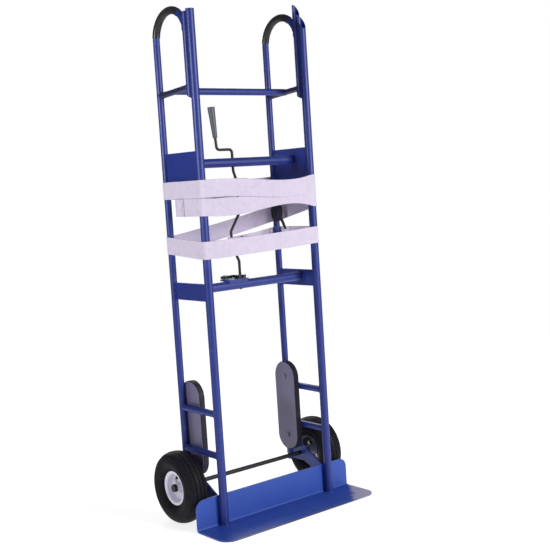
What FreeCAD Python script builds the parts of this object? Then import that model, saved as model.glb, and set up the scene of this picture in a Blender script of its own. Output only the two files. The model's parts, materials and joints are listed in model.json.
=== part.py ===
import FreeCAD, Part
import os
from math import atan2, cos, degrees, pi, radians, sin, sqrt, tan
from FreeCAD import Vector

# Appliance hand truck, in millimetres.
# +Z is up, the load side faces -Y, +X is to the right seen from the load side.
# The origin lies on the floor, midway between the axes of the two front rails.
# Pieces that come in pairs are made for the right side and mirrored to the left.

# Clearances
WELD = 0.05         # hairline between pieces that are welded, pressed or laid together
FIT = 0.05          # radial running clearance of a shaft in its hole
AIR = 0.6           # clearance between pieces that pass each other

# Side frames
FRAME_W = 500.0     # spacing of the two side frames, axis to axis
FRAME_D = 218.0     # rear tube axis behind front rail axis

# Rear tubes with their loop handles
TUBE_D = 25.0
TUBE_WALL = 2.0
TUBE_STUB = 5.0     # length of rear tube below the axle bracket
LOOP_TOP = 1834.0   # highest point of the bare loop
LEG_D = 27.0        # straight leg behind the rail, on which the loop ends
LEG_DROP = 326.0    # lower end of the leg, below the loop's top
LEG_SLANT = 16.0    # height of the slanted cut there
LEG_SHY = 5.0       # upper end of the left leg, below the end of its rail

# Front rails
RAIL_D = 30.0
RAIL_WALL = 2.5
RAIL_DROP = 26.0    # flat end of the left rail, below the loop's top
TIP_RISE = 49.0     # how much higher the slanted tip on the right side reaches
TIP_SLANT = 96.0    # height of the slanted cut through the right rail and its leg

# Hand grips
GRIP_T = 1.5
GRIP_FROM = 8.0     # degrees round the arc, counted from the rear
GRIP_TO = 124.0

# Top braces, between rear tube and leg
BRACE_D = 22.0
BRACE_WALL = 2.0
BRACE_DROP = 299.0  # rear end of the brace, below the loop's top
BRACE_RISE = 14.0   # rise of the brace from rear tube to leg

# Cross bars
TOP_BAR_D = 25.0
TOP_BAR_WALL = 2.0
TOP_BAR_Y = 118.0
BAR_D = 33.0
BAR_WALL = 2.5
BAR_Y = 87.0
BAR_DROP = 549.0    # upper bar below the loop's top
BAR_SPAN = 445.0    # lower bar below the upper one

# Side panels, measured from the axis of their cross bar
PANEL_T = 4.0
UPPER_PANEL_ABOVE = 43.0
UPPER_PANEL_BELOW = 80.0
LOWER_PANEL_ABOVE = 25.0
LOWER_PANEL_BELOW = 37.0

# Rungs
RUNG_D = 25.0
RUNG_WALL = 2.0
UPPER_RUNG_Z = 403.0
LOWER_RUNG_Z = 252.0

# Nose plate: toe plate and kick plate bent from one sheet
NOSE_T = 5.0
NOSE_WING = 108.0   # reach of the plate beyond the rail axes
NOSE_BEND = 6.0     # inner bend radius
TOE_FRONT = 152.0   # front edge ahead of the rail axes
TOE_CORNER = 48.0
TOE_BEVEL = 30.0
TOE_EDGE = 2.0      # thickness left at the front edge
KICK_TOP = 112.0
KICK_CORNER = 34.0

# Wheels
WHEEL_R = 131.0
WHEEL_GAP = 19.0    # room between rear tube and tyre
WHEEL_FRONT = 7.95  # room between kick plate and tyre
TYRE_W = 85.0
TYRE_WALL = 8.0
BULGE_R = 94.0      # radius at which the tyre is widest
TREAD_W = 67.0
TREAD_T = 10.5
TREAD_DROP = 10.0   # the shoulder below the crown
GROOVES = 3
GROOVE_W = 3.0
GROOVE_DEPTH = 5.0
GROOVE_PITCH = 15.5
BEAD_W = 8.0
INNER_TUBE_WALL = 2.0
INNER_TUBE_TOP = 5.0   # room between the inner tube and the tyre's lining
INNER_TUBE_SIDE = 1.5
INNER_TUBE_FOOT = 7.5  # room between the inner tube and the rim
VALVE_D = 7.0
VALVE_CAP_D = 9.5
VALVE_CAP_LEN = 9.0
VALVE_END_R = 31.0
RIM_R = 62.0
RIM_W = 54.0
RIM_T = 2.5
RIM_BEND = 5.0
FLANGE_H = 10.0     # rim flange above the bead seat
HUB_D = 39.0
HUB_WALL = 2.0
HUB_IN = 36.0       # hub on the inner side of the rim halves
HUB_OUT = 21.0      # and on the outer side
BEARING_W = 11.0
RACE_T = 4.0        # inner race of a bearing
SHIELD_GROOVE = 1.0
RIM_BOLTS = 4
RIM_BOLT_D = 8.0
RIM_BOLT_R = 31.0
HEX = 6             # sides of bolt heads and nuts
BOLT_FLATS = 13.0
BOLT_HEAD = 5.0
BOLT_NUT = 6.0
BOLT_END = 2.0

# Axle and brackets
AXLE_D = 16.0
SPACER_D = 26.0
CAP_D = 28.0
CAP_LEN = 10.0
CAP_DEPTH = 7.0
CAP_ROUND = 3.0
BRACKET_T = 6.0
BRACKET_EDGE = 20.0    # bracket behind the rear tube axis and below the axle
BRACKET_ABOVE = 74.0   # bracket above the axle
BRACKET_NECK = 40.0    # from the axle forward to the bracket's neck
BRACKET_RISE = 22.0    # top of the neck above the axle
BRACKET_FOOT = 21.0    # lower end of the bracket's front edge
BRACKET_CHAMFER = 14.0

# Stair climbers
CLIMB_AHEAD = 34.0  # climber axis ahead of the rear tube axis
CLIMB_SPAN = 234.0  # from the low roller to the high one
CLIMB_CLEAR = 10.0  # room between axle and belt
CLIMB_R = 59.0      # outer radius of the belt round a roller
CLIMB_PLATE_T = 2.0
CLIMB_BELT_T = 6.0
CLIMB_BELT_W = 20.0
CLIMB_PROUD = 3.0   # how far the belt stands out from the plates
CLIMB_PIN_D = 12.0
CLIMB_HEAD_D = 20.0
CLIMB_HEAD_T = 4.0
CLIMB_POST_D = 14.0
ROLLER_RIM = 5.0
ROLLER_WEB = 6.0
ROLLER_BOSS_D = 24.0

# Strap winder
ROD_D = 10.0
ROD_BEND = 13.0
ROD_X = -45.0       # winder axis
ARM_LIFT = 47.0     # crank arm above the upper bar's axis
ARM_LEN = 67.0
ROD_LEAN = 5.0      # outward lean of the hand grip, degrees
ROD_REACH = 148.0   # length of the rod's leaning end above the arm
ROD_IN = 14.0       # offset of the rod's upper stretch
ROD_OUT = -28.0     # offset of the rod's lower stretch
ROD_IN_TOP = 73.0   # upper stretch, from the upper bar's axis down
ROD_IN_END = 186.0
ROD_OUT_TOP = 196.0  # lower stretch, from the lower bar's axis up
ROD_OUT_END = 145.0
ROD_TRUE = 85.0     # where the rod is back on its axis
ROD_TAIL = 2.0      # length of rod below the lower bar
CRANK_GRIP_LEN = 112.0
CRANK_GRIP_TOP_D = 27.0
CRANK_GRIP_LOW_D = 17.0
CRANK_GRIP_END = 5.0  # closed end of the grip
CRANK_GRIP_ROUND = 3.0
BASE_T = 6.0
BASE_SKIRT = 9.0
BASE_FRONT = 21.0
BASE_ROUND = 8.0
BASE_RIM = 5.0      # base beyond the ratchet wheel
TEETH = 12
RATCHET_R = 22.0
TOOTH_H = 4.0
RATCHET_T = 12.0
PAWL_T = 10.0
PAWL_DX = -50.0     # pivot from the winder axis
PAWL_DY = 28.0
PAWL_FREE = 6.0     # degrees the pawl stands clear of the teeth
PAWL_PIN_D = 8.0
PAWL_PIN_HEAD = 3.0
PAWL_PIN_HEAD_D = 14.5
PAWL_BOSS_R = 9.0
PAWL_TAIL = 15.0
PAWL_TAIL_W = 6.0
PAWL_CLEAR = 3.0    # underside of the arm above the teeth
PAWL_ARM = 6.0
PAWL_CHAMFER = 3.5
PAWL_NOSE = 10.0    # length of the hooked nose
PAWL_TIP_W = 1.7
PAWL_BITE = 2.4     # depth of the nose in a tooth gap

# Web straps, heights from the axes of the cross bars
STRAP_W = 62.0
STRAP_T = 2.5
STRAP_TOP_DROP = 120.0   # lower edge of the top turn below the upper bar
STRAP_STEP = 0.5         # gap between the top and middle turns
STRAP_SINK = 49.5        # how much lower the middle turn is at the right rear tube
STRAP_LOW_RISE = 128.0   # lower edge of the lowest turn above the lower bar
STRAP_LOW_SINK = 16.0    # how much lower the lowest turn is at the left rail
STRAP_TAIL = 60.0
HEM_END = 77.0           # end of the hem, ahead of the left rear tube
HEM_LEN = 50.0

# Hook plate on the right rear tube
HOOK_T = 4.0
HOOK_W = 66.0
HOOK_H = 70.0
HOOK_LIFT = 57.0         # middle of the plate above the lowest strap
HOOK_ROUND = 30.0
HOOK_SLOT_W = 12.0
HOOK_SLOT_H = 34.0
HOOK_SLOT_ROUND = 5.5
PRONG_ROOT = 15.5        # where the two prongs begin, above the plate's lower edge
CLAW_W = 9.0
CLAW_LEN = 20.0
BEAK_W = 11.0
BEAK_LEN = 31.0
BEAK_REACH = 18.0

# Sizes that follow from the ones above
HALF = FRAME_W / 2
UPPER_BAR_Z = LOOP_TOP - BAR_DROP
LOWER_BAR_Z = UPPER_BAR_Z - BAR_SPAN
RAIL_TOP = LOOP_TOP - RAIL_DROP
LEG_END = LOOP_TOP - LEG_DROP
LEG_Y = RAIL_D / 2 + WELD + LEG_D / 2
LEG_REAR = LEG_Y + LEG_D / 2
TIP_TOP = RAIL_TOP + TIP_RISE
LOOP_R = (FRAME_D - LEG_Y) / 2
LOOP_Y = (FRAME_D + LEG_Y) / 2
LOOP_Z = LOOP_TOP - TUBE_D / 2 - LOOP_R
BRACE_REAR = Vector(HALF, FRAME_D, LOOP_TOP - BRACE_DROP)
BRACE_FRONT = Vector(HALF, LEG_Y, LOOP_TOP - BRACE_DROP + BRACE_RISE)
TOP_BAR_Z = BRACE_REAR.z + BRACE_RISE * (FRAME_D - TOP_BAR_Y) / (FRAME_D - LEG_Y)
KICK_Y = RAIL_D / 2 + WELD
KICK_BACK = KICK_Y + NOSE_T
NOSE_W = FRAME_W + 2 * NOSE_WING
WHEEL_X = HALF + TUBE_D / 2 + WHEEL_GAP + TYRE_W / 2
AXLE_Y = KICK_BACK + WHEEL_FRONT + WHEEL_R
AXLE_Z = WHEEL_R
AXLE_END = WHEEL_X + HUB_OUT + AIR + CAP_DEPTH - WELD
SEAT_R = RIM_R - FLANGE_H
LINING_R = WHEEL_R - TREAD_T
INNER_TUBE_D = min(LINING_R - INNER_TUBE_TOP - INNER_TUBE_FOOT - SEAT_R,
                   TYRE_W - 2 * TYRE_WALL - 2 * INNER_TUBE_SIDE)
INNER_TUBE_R = LINING_R - INNER_TUBE_TOP - INNER_TUBE_D / 2
BEARING_OD = HUB_D - 2 * HUB_WALL
BRACKET_LOW = AXLE_Z - AXLE_D / 2 - BRACKET_EDGE
BRACKET_TOP = AXLE_Z + BRACKET_ABOVE
TUBE_END = BRACKET_LOW - TUBE_STUB
CLIMB_Y = FRAME_D - CLIMB_AHEAD
CLIMB_LOW_Z = AXLE_Z + AXLE_D / 2 + CLIMB_CLEAR + CLIMB_R
CLIMB_HIGH_Z = CLIMB_LOW_Z + CLIMB_SPAN
CLIMB_OUT = HALF - max(TUBE_D, RUNG_D) / 2 - WELD
CLIMB_IN = CLIMB_OUT - 2 * CLIMB_PLATE_T - CLIMB_BELT_W - 2 * AIR
BELT_X = CLIMB_IN + CLIMB_PLATE_T + AIR
ROLLER_R = CLIMB_R - CLIMB_BELT_T - AIR
BASE_TOP = LOWER_BAR_Z + BAR_D / 2 + BASE_T
RATCHET_Z = BASE_TOP + AIR
PAWL_X = ROD_X + PAWL_DX
PAWL_Y = BAR_Y + PAWL_DY
EYE_TOP_R = abs(ROD_IN) + ROD_D / 2 + 3 * AIR
EYE_LOW_R = abs(ROD_OUT) + ROD_D / 2 + 3 * AIR
STRAP_TOP_Z = UPPER_BAR_Z - STRAP_TOP_DROP
STRAP_MID_Z = STRAP_TOP_Z - STRAP_STEP - STRAP_W
STRAP_LOW_Z = LOWER_BAR_Z + STRAP_LOW_RISE
HOOK_Z = STRAP_LOW_Z + STRAP_W + HOOK_LIFT
PAST = 1.0          # how far a cutting tool reaches past the faces it cuts


def save(name, *solids):
    shape = solids[0] if len(solids) == 1 else Part.makeCompound(list(solids))
    shape.exportStep("parts/" + name + ".step")


def mirrored(shape):
    return shape.mirror(Vector(0, 0, 0), Vector(1, 0, 0))


def save_pair(name, *solids):
    save(name + "_right", *solids)
    save(name + "_left", *[mirrored(solid) for solid in solids])


def one(shape):
    return max(shape.removeSplitter().Solids, key=lambda solid: solid.Volume)


def joined(pieces):
    return one(pieces[0].multiFuse(pieces[1:]))


def rod(start, end, diameter):
    run = end - start
    return Part.makeCylinder(diameter / 2, run.Length, start, run)


def pipe(start, end, diameter, wall):
    ahead = (end - start).normalize()
    return rod(start, end, diameter).cut(rod(start - ahead, end + ahead, diameter - 2 * wall))


def box(x0, y0, z0, x1, y1, z1):
    return Part.makeBox(x1 - x0, y1 - y0, z1 - z0, Vector(x0, y0, z0))


def flat(points, along):
    return Part.Face(Part.makePolygon(points + points[:1])).extrude(along)


def side_plate(outline, x0, x1):
    return flat([Vector(x0, y, z) for y, z in outline], Vector(x1 - x0, 0, 0))


def disc(centre, normal, diameter):
    return Part.Face(Part.Wire(Part.makeCircle(diameter / 2, centre, normal)))


def arc(start, middle, end):
    return Part.Arc(start, middle, end).toShape()


def bends(points, radius):
    # start, end and centre of the arc that rounds each corner of a route
    for before, corner, after in zip(points, points[1:], points[2:]):
        back = (before - corner).normalize()
        on = (after - corner).normalize()
        half = back.getAngle(on) / 2
        cut = radius / tan(half)
        centre = corner + (back + on).normalize() * (radius / sin(half))
        yield corner + back * cut, corner + on * cut, centre


def bent_wire(points, radius):
    edges = []
    last = points[0]
    for start, end, centre in bends(points, radius):
        middle = centre + ((start + end) * 0.5 - centre).normalize() * radius
        edges += [Part.makeLine(last, start), arc(start, middle, end)]
        last = end
    return Part.Wire(edges + [Part.makeLine(last, points[-1])])


def bent_rod(points, radius, diameter):
    pieces = []
    last = points[0]
    for start, end, centre in bends(points, radius):
        pieces.append(rod(last, start, diameter))
        ahead = (start - last).normalize()
        axis = (start - centre).normalize().cross(ahead)
        turn = degrees((start - centre).getAngle(end - centre))
        pieces.append(disc(start, ahead, diameter).revolve(centre, axis, turn))
        last = end
    return joined(pieces + [rod(last, points[-1], diameter)])


# Frame

def rail_post():
    return rod(Vector(HALF, 0, 0), Vector(HALF, 0, LOOP_TOP), RAIL_D + 2 * WELD)


def rear_post():
    return rod(Vector(HALF, FRAME_D, 0), Vector(HALF, FRAME_D, LOOP_Z), TUBE_D + 2 * WELD)


def leg_post():
    return rod(Vector(HALF, LEG_Y, LEG_END), Vector(HALF, LEG_Y, LOOP_Z), LEG_D + 2 * WELD)


def nose_plate():
    x = -NOSE_W / 2
    under = [Vector(x, -TOE_FRONT, 0), Vector(x, KICK_BACK, 0), Vector(x, KICK_BACK, KICK_TOP)]
    over = [Vector(x, -TOE_FRONT, NOSE_T), Vector(x, KICK_Y, NOSE_T), Vector(x, KICK_Y, KICK_TOP)]
    outer = bent_wire(under, NOSE_BEND + NOSE_T)
    inner = bent_wire(over, NOSE_BEND)
    toe_end = Part.makeLine(Vector(x, -TOE_FRONT, 0), Vector(x, -TOE_FRONT, NOSE_T))
    kick_end = Part.makeLine(Vector(x, KICK_BACK, KICK_TOP), Vector(x, KICK_Y, KICK_TOP))
    section = Part.Wire(Part.__sortEdges__(outer.Edges + inner.Edges + [toe_end, kick_end]))
    plate = Part.Face(section).extrude(Vector(NOSE_W, 0, 0))
    bevel = [(-TOE_FRONT - PAST, TOE_EDGE - PAST * (NOSE_T - TOE_EDGE) / TOE_BEVEL),
             (TOE_BEVEL - TOE_FRONT, NOSE_T), (-TOE_FRONT - PAST, NOSE_T)]
    plate = plate.cut(side_plate(bevel, -NOSE_W, NOSE_W))
    edge = NOSE_W / 2
    toe = box(edge - TOE_CORNER, -TOE_FRONT, -PAST, edge, TOE_CORNER - TOE_FRONT, NOSE_T + PAST)
    toe_centre = Vector(edge - TOE_CORNER, TOE_CORNER - TOE_FRONT, -PAST)
    toe = toe.cut(rod(toe_centre, toe_centre + Vector(0, 0, NOSE_T + 2 * PAST), 2 * TOE_CORNER))
    kick = box(edge - KICK_CORNER, KICK_Y - PAST, KICK_TOP - KICK_CORNER, edge, KICK_BACK + PAST, KICK_TOP)
    kick_centre = Vector(edge - KICK_CORNER, KICK_Y - PAST, KICK_TOP - KICK_CORNER)
    kick = kick.cut(rod(kick_centre, kick_centre + Vector(0, NOSE_T + 2 * PAST, 0), 2 * KICK_CORNER))
    for waste in (toe, kick):
        plate = plate.cut(waste).cut(mirrored(waste))
    return one(plate)


def rail(nose, top):
    tube = pipe(Vector(HALF, 0, NOSE_T + WELD), Vector(HALF, 0, top), RAIL_D, RAIL_WALL)
    return one(tube.cut(nose))


def tip_waste():
    # all that lies above the slanted tip of the right rail and its leg
    front = -RAIL_D / 2
    past = PAST * TIP_SLANT / (LEG_REAR - front)
    outline = [(front - PAST, TIP_TOP - TIP_SLANT - past), (LEG_REAR + PAST, TIP_TOP + past),
               (front - PAST, TIP_TOP + past)]
    return side_plate(outline, HALF - RAIL_D, HALF + RAIL_D)


def loop_arc(first, last, diameter):
    a = radians(first)
    start = Vector(HALF, LOOP_Y + LOOP_R * cos(a), LOOP_Z + LOOP_R * sin(a))
    section = disc(start, Vector(0, -sin(a), cos(a)), diameter)
    return section.revolve(Vector(HALF, LOOP_Y, LOOP_Z), Vector(1, 0, 0), last - first)


def loop(leg_top, inset):
    back = rod(Vector(HALF, FRAME_D, TUBE_END), Vector(HALF, FRAME_D, LOOP_Z), TUBE_D - 2 * inset)
    leg = rod(Vector(HALF, LEG_Y, LEG_END), Vector(HALF, LEG_Y, leg_top), LEG_D - 2 * inset)
    return joined([back, loop_arc(0, 180, TUBE_D - 2 * inset), leg])


def rear_tube(leg_top):
    tube = loop(leg_top, 0).cut(loop(leg_top, TUBE_WALL))
    front = LEG_Y - LEG_D / 2
    wedge = [(front, LEG_END), (LEG_REAR, LEG_END + LEG_SLANT), (LEG_REAR, LEG_END - PAST),
             (front, LEG_END - PAST)]
    tube = tube.cut(side_plate(wedge, HALF - LEG_D, HALF + LEG_D))
    slot = BRACKET_T / 2 + WELD
    return one(tube.cut(box(HALF - slot, FRAME_D - TUBE_D, TUBE_END - PAST,
                            HALF + slot, FRAME_D + TUBE_D, BRACKET_TOP + WELD)))


def hand_grip():
    sleeve = loop_arc(GRIP_FROM, GRIP_TO, TUBE_D + 2 * GRIP_T)
    return one(sleeve.cut(loop_arc(GRIP_FROM - PAST, GRIP_TO + PAST, TUBE_D + 2 * WELD)))


def top_brace():
    brace = pipe(BRACE_REAR, BRACE_FRONT, BRACE_D, BRACE_WALL)
    return one(brace.cut(rear_post()).cut(leg_post()))


def top_bar():
    end = Vector(HALF, TOP_BAR_Y, TOP_BAR_Z)
    bar = pipe(Vector(-HALF, TOP_BAR_Y, TOP_BAR_Z), end, TOP_BAR_D, TOP_BAR_WALL)
    seat = rod(BRACE_REAR, BRACE_FRONT, BRACE_D + 2 * WELD)
    return one(bar.cut(seat).cut(mirrored(seat)))


def winder_hole(z0, z1):
    return rod(Vector(ROD_X, BAR_Y, z0), Vector(ROD_X, BAR_Y, z1), ROD_D + 2 * FIT)


def cross_bar(z):
    reach = HALF - PANEL_T / 2 - WELD
    bar = pipe(Vector(-reach, BAR_Y, z), Vector(reach, BAR_Y, z), BAR_D, BAR_WALL)
    return one(bar.cut(winder_hole(z - BAR_D, z + BAR_D)))


def side_panel(z, below, above):
    panel = box(HALF - PANEL_T / 2, 0, z - below, HALF + PANEL_T / 2, FRAME_D, z + above)
    return one(panel.cut(rail_post()).cut(rear_post()))


def rung(z):
    bar = pipe(Vector(HALF, 0, z), Vector(HALF, FRAME_D, z), RUNG_D, RUNG_WALL)
    return one(bar.cut(rail_post()).cut(rear_post()))


def axle_bracket():
    behind = FRAME_D + BRACKET_EDGE
    front = KICK_BACK + WELD
    neck = AXLE_Y - BRACKET_NECK
    shoulder = KICK_TOP - BRACKET_CHAMFER / 2
    outline = [(front, BRACKET_FOOT), (front, shoulder - BRACKET_CHAMFER),
               (front + BRACKET_CHAMFER, shoulder), (neck, AXLE_Z + BRACKET_RISE),
               (FRAME_D - TUBE_D, BRACKET_TOP), (behind, BRACKET_TOP),
               (behind, BRACKET_LOW + BRACKET_CHAMFER), (behind - BRACKET_CHAMFER, BRACKET_LOW),
               (neck, BRACKET_LOW)]
    plate = side_plate(outline, HALF - BRACKET_T / 2, HALF + BRACKET_T / 2)
    return one(plate.cut(on_axle(HALF - BRACKET_T, HALF + BRACKET_T, AXLE_D + 2 * WELD)))


# Axle and wheels

def on_axle(x0, x1, diameter):
    return rod(Vector(x0, AXLE_Y, AXLE_Z), Vector(x1, AXLE_Y, AXLE_Z), diameter)


def ring(x0, x1, outer, inner):
    ahead = PAST if x1 > x0 else -PAST
    return on_axle(x0, x1, outer).cut(on_axle(x0 - ahead, x1 + ahead, inner))


def wheel_point(dx, radius):
    return Vector(WHEEL_X + dx, AXLE_Y, AXLE_Z + radius)


def spun(edges):
    face = Part.Face(Part.Wire(Part.__sortEdges__(edges)))
    return face.revolve(Vector(0, AXLE_Y, AXLE_Z), Vector(1, 0, 0), 360)


def axle():
    return on_axle(-AXLE_END, AXLE_END, AXLE_D)


def axle_spacer():
    return ring(HALF + BRACKET_T / 2 + WELD, WHEEL_X - HUB_IN - AIR, SPACER_D, AXLE_D + 2 * WELD)


def axle_cap():
    start = WHEEL_X + HUB_OUT + AIR
    end = start + CAP_LEN
    cap = on_axle(start, end, CAP_D)
    rim = [edge for edge in cap.Edges if edge.BoundBox.XMin > end - WELD]
    cap = cap.makeFillet(CAP_ROUND, rim)
    return one(cap.cut(on_axle(start - PAST, start + CAP_DEPTH, AXLE_D + 2 * WELD)))


def tyre_side(way):
    lip = RIM_W / 2 - RIM_T - WELD
    seat = SEAT_R + WELD
    chamfer = RIM_BEND + AIR
    knee = (lip - TYRE_WALL / 2, RIM_R + TYRE_WALL / 2)
    shoulder = (TREAD_W / 2, WHEEL_R - TREAD_DROP)
    lining = (TREAD_W / 2 - TYRE_WALL, LINING_R - TREAD_DROP)
    bead = [knee, (lip - BEAD_W, seat), (lip - chamfer, seat), (lip, seat + chamfer), (lip, RIM_R)]
    outside = (shoulder, (TYRE_W / 2, BULGE_R), (lip, RIM_R))
    inside = (lining, (TYRE_W / 2 - TYRE_WALL, BULGE_R), knee)
    edges = [arc(*[wheel_point(way * dx, r) for dx, r in side]) for side in (outside, inside)]
    line = [wheel_point(way * dx, r) for dx, r in bead]
    return edges + [Part.makeLine(a, b) for a, b in zip(line, line[1:])]


def crown(half_width, radius, drop):
    low = radius - drop
    return arc(wheel_point(-half_width, low), wheel_point(0, radius), wheel_point(half_width, low))


def tyre():
    tread = crown(TREAD_W / 2, WHEEL_R, TREAD_DROP)
    lining = crown(TREAD_W / 2 - TYRE_WALL, LINING_R, TREAD_DROP)
    skin = spun([tread, lining] + tyre_side(-1) + tyre_side(1))
    for k in range(GROOVES):
        x = WHEEL_X + (k - (GROOVES - 1) / 2) * GROOVE_PITCH
        floor = 2 * (WHEEL_R - GROOVE_DEPTH)
        skin = skin.cut(ring(x - GROOVE_W / 2, x + GROOVE_W / 2, 2 * (WHEEL_R + PAST), floor))
    return one(skin)


def valve_middle():
    return (RIM_W / 2 - RIM_T) / 2


def valve_line(outer, inner, diameter):
    return rod(wheel_point(valve_middle(), outer), wheel_point(valve_middle(), inner), diameter)


def inner_tube():
    centre = wheel_point(0, 0)
    ahead = Vector(1, 0, 0)
    skin = Part.makeTorus(INNER_TUBE_R, INNER_TUBE_D / 2, centre, ahead)
    hollow = Part.makeTorus(INNER_TUBE_R, INNER_TUBE_D / 2 - INNER_TUBE_WALL, centre, ahead)
    stem = valve_line(INNER_TUBE_R, VALVE_END_R, VALVE_D)
    cap = valve_line(VALVE_END_R + VALVE_CAP_LEN, VALVE_END_R, VALVE_CAP_D)
    return one(skin.fuse(stem).fuse(cap).cut(hollow))


def rim_half(way):
    flange = RIM_W / 2 - RIM_T
    hub = HUB_D / 2 + WELD
    route = [(WELD, hub), (WELD, SEAT_R), (flange, SEAT_R), (flange, RIM_R)]
    route = [wheel_point(way * dx, r) for dx, r in route]
    sheet = bent_wire(route, RIM_BEND).makeOffset2D(RIM_T * -way, 0, True, True)
    half = sheet.revolve(Vector(0, AXLE_Y, AXLE_Z), Vector(1, 0, 0), 360)
    for y, z in bolt_places():
        start = Vector(WHEEL_X - RIM_W, y, z)
        half = half.cut(rod(start, start + Vector(2 * RIM_W, 0, 0), RIM_BOLT_D + 2 * WELD))
    if way > 0:
        half = half.cut(valve_line(RIM_R, SEAT_R - RIM_T - PAST, VALVE_D + 2 * WELD))
    return one(half)


def bolt_places():
    for k in range(RIM_BOLTS):
        a = 2 * pi * (k + 0.5) / RIM_BOLTS
        yield AXLE_Y + RIM_BOLT_R * cos(a), AXLE_Z + RIM_BOLT_R * sin(a)


def hexagon(x, y, z, across_flats, height):
    r = across_flats / 2 / cos(pi / HEX)
    turns = [2 * pi * k / HEX for k in range(HEX)]
    return flat([Vector(x, y + r * cos(a), z + r * sin(a)) for a in turns], Vector(height, 0, 0))


def rim_bolts():
    bolts = []
    grip = RIM_T + 2 * WELD
    for y, z in bolt_places():
        end = Vector(WHEEL_X - grip - BOLT_NUT - BOLT_END, y, z)
        shank = rod(end, Vector(WHEEL_X + grip, y, z), RIM_BOLT_D)
        head = hexagon(WHEEL_X + grip, y, z, BOLT_FLATS, BOLT_HEAD)
        nut = hexagon(WHEEL_X - grip, y, z, BOLT_FLATS, -BOLT_NUT)
        bolts.append(joined([shank, head, nut]))
    return bolts


def hub():
    return ring(WHEEL_X - HUB_IN, WHEEL_X + HUB_OUT, HUB_D, BEARING_OD + 2 * WELD)


def bearings():
    rings = []
    for way, reach in ((-1, HUB_IN), (1, HUB_OUT)):
        outer = WHEEL_X + way * reach
        race = ring(outer - way * BEARING_W, outer, BEARING_OD, AXLE_D + 2 * FIT)
        floor = outer - way * SHIELD_GROOVE
        groove = ring(floor, outer + way * PAST, BEARING_OD - RACE_T, AXLE_D + 2 * RACE_T)
        rings.append(one(race.cut(groove)))
    return rings


# Stair climbers

def racetrack(radius, x0, x1):
    y = CLIMB_Y
    low = CLIMB_LOW_Z
    high = CLIMB_HIGH_Z
    front = Part.makeLine(Vector(x0, y - radius, high), Vector(x0, y - radius, low))
    back = Part.makeLine(Vector(x0, y + radius, low), Vector(x0, y + radius, high))
    top = arc(Vector(x0, y + radius, high), Vector(x0, y, high + radius), Vector(x0, y - radius, high))
    bottom = arc(Vector(x0, y - radius, low), Vector(x0, y, low - radius), Vector(x0, y + radius, low))
    return Part.Face(Part.Wire([back, top, front, bottom])).extrude(Vector(x1 - x0, 0, 0))


def across(z, x0, x1, diameter):
    return rod(Vector(x0, CLIMB_Y, z), Vector(x1, CLIMB_Y, z), diameter)


def climber_plate(x):
    plate = racetrack(CLIMB_R - CLIMB_PROUD, x, x + CLIMB_PLATE_T)
    for z in (CLIMB_LOW_Z, CLIMB_HIGH_Z):
        plate = plate.cut(across(z, x - PAST, x + CLIMB_PLATE_T + PAST, CLIMB_PIN_D + 2 * WELD))
    return one(plate)


def climber_belt():
    belt_end = BELT_X + CLIMB_BELT_W
    inside = racetrack(CLIMB_R - CLIMB_BELT_T, BELT_X, belt_end)
    return one(racetrack(CLIMB_R, BELT_X, belt_end).cut(inside))


def climber_roller(z):
    belt_end = BELT_X + CLIMB_BELT_W
    drum = across(z, BELT_X, belt_end, 2 * ROLLER_R)
    recess = (CLIMB_BELT_W - ROLLER_WEB) / 2
    for start, end in ((BELT_X, BELT_X + recess), (belt_end, belt_end - recess)):
        pocket = across(z, start, end, 2 * (ROLLER_R - ROLLER_RIM))
        drum = drum.cut(pocket.cut(across(z, start, end, ROLLER_BOSS_D)))
    return one(drum.cut(across(z, BELT_X - PAST, belt_end + PAST, CLIMB_PIN_D + 2 * FIT)))


def climber_pin(z):
    start = CLIMB_IN - WELD
    pin = across(z, start, CLIMB_OUT, CLIMB_PIN_D)
    return one(pin.fuse(across(z, start - CLIMB_HEAD_T, start, CLIMB_HEAD_D)))


def climber_post():
    middle = (CLIMB_LOW_Z + CLIMB_HIGH_Z) / 2
    gap = CLIMB_PLATE_T + WELD
    return across(middle, CLIMB_IN + gap, CLIMB_OUT - gap, CLIMB_POST_D)


# Strap winder

def at_winder(dx, z):
    return Vector(ROD_X + dx, BAR_Y, z)


def grip_axis():
    a = radians(ROD_LEAN)
    return Vector(-sin(a), 0, cos(a))


def arm_corner():
    return at_winder(-ARM_LEN, UPPER_BAR_Z + ARM_LIFT)


def crank_rod():
    points = [arm_corner() + grip_axis() * ROD_REACH, arm_corner(), at_winder(0, arm_corner().z),
              at_winder(0, UPPER_BAR_Z - BAR_D / 2 - ROD_BEND),
              at_winder(ROD_IN, UPPER_BAR_Z - ROD_IN_TOP),
              at_winder(ROD_IN, UPPER_BAR_Z - ROD_IN_END),
              at_winder(ROD_OUT, LOWER_BAR_Z + ROD_OUT_TOP),
              at_winder(ROD_OUT, LOWER_BAR_Z + ROD_OUT_END),
              at_winder(0, LOWER_BAR_Z + ROD_TRUE),
              at_winder(0, LOWER_BAR_Z - BAR_D / 2 - ROD_TAIL)]
    return bent_rod(points, ROD_BEND, ROD_D)


def crank_grip():
    axis = grip_axis()
    top = arm_corner() + axis * (ROD_REACH + AIR + CRANK_GRIP_END)
    low = top - axis * CRANK_GRIP_LEN
    cone = Part.makeCone(CRANK_GRIP_LOW_D / 2, CRANK_GRIP_TOP_D / 2, CRANK_GRIP_LEN, low, axis)
    cone = cone.makeFillet(CRANK_GRIP_ROUND, [edge for edge in cone.Edges if edge.Closed])
    return one(cone.cut(rod(low - axis, top - axis * CRANK_GRIP_END, ROD_D + 2 * FIT)))


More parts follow.
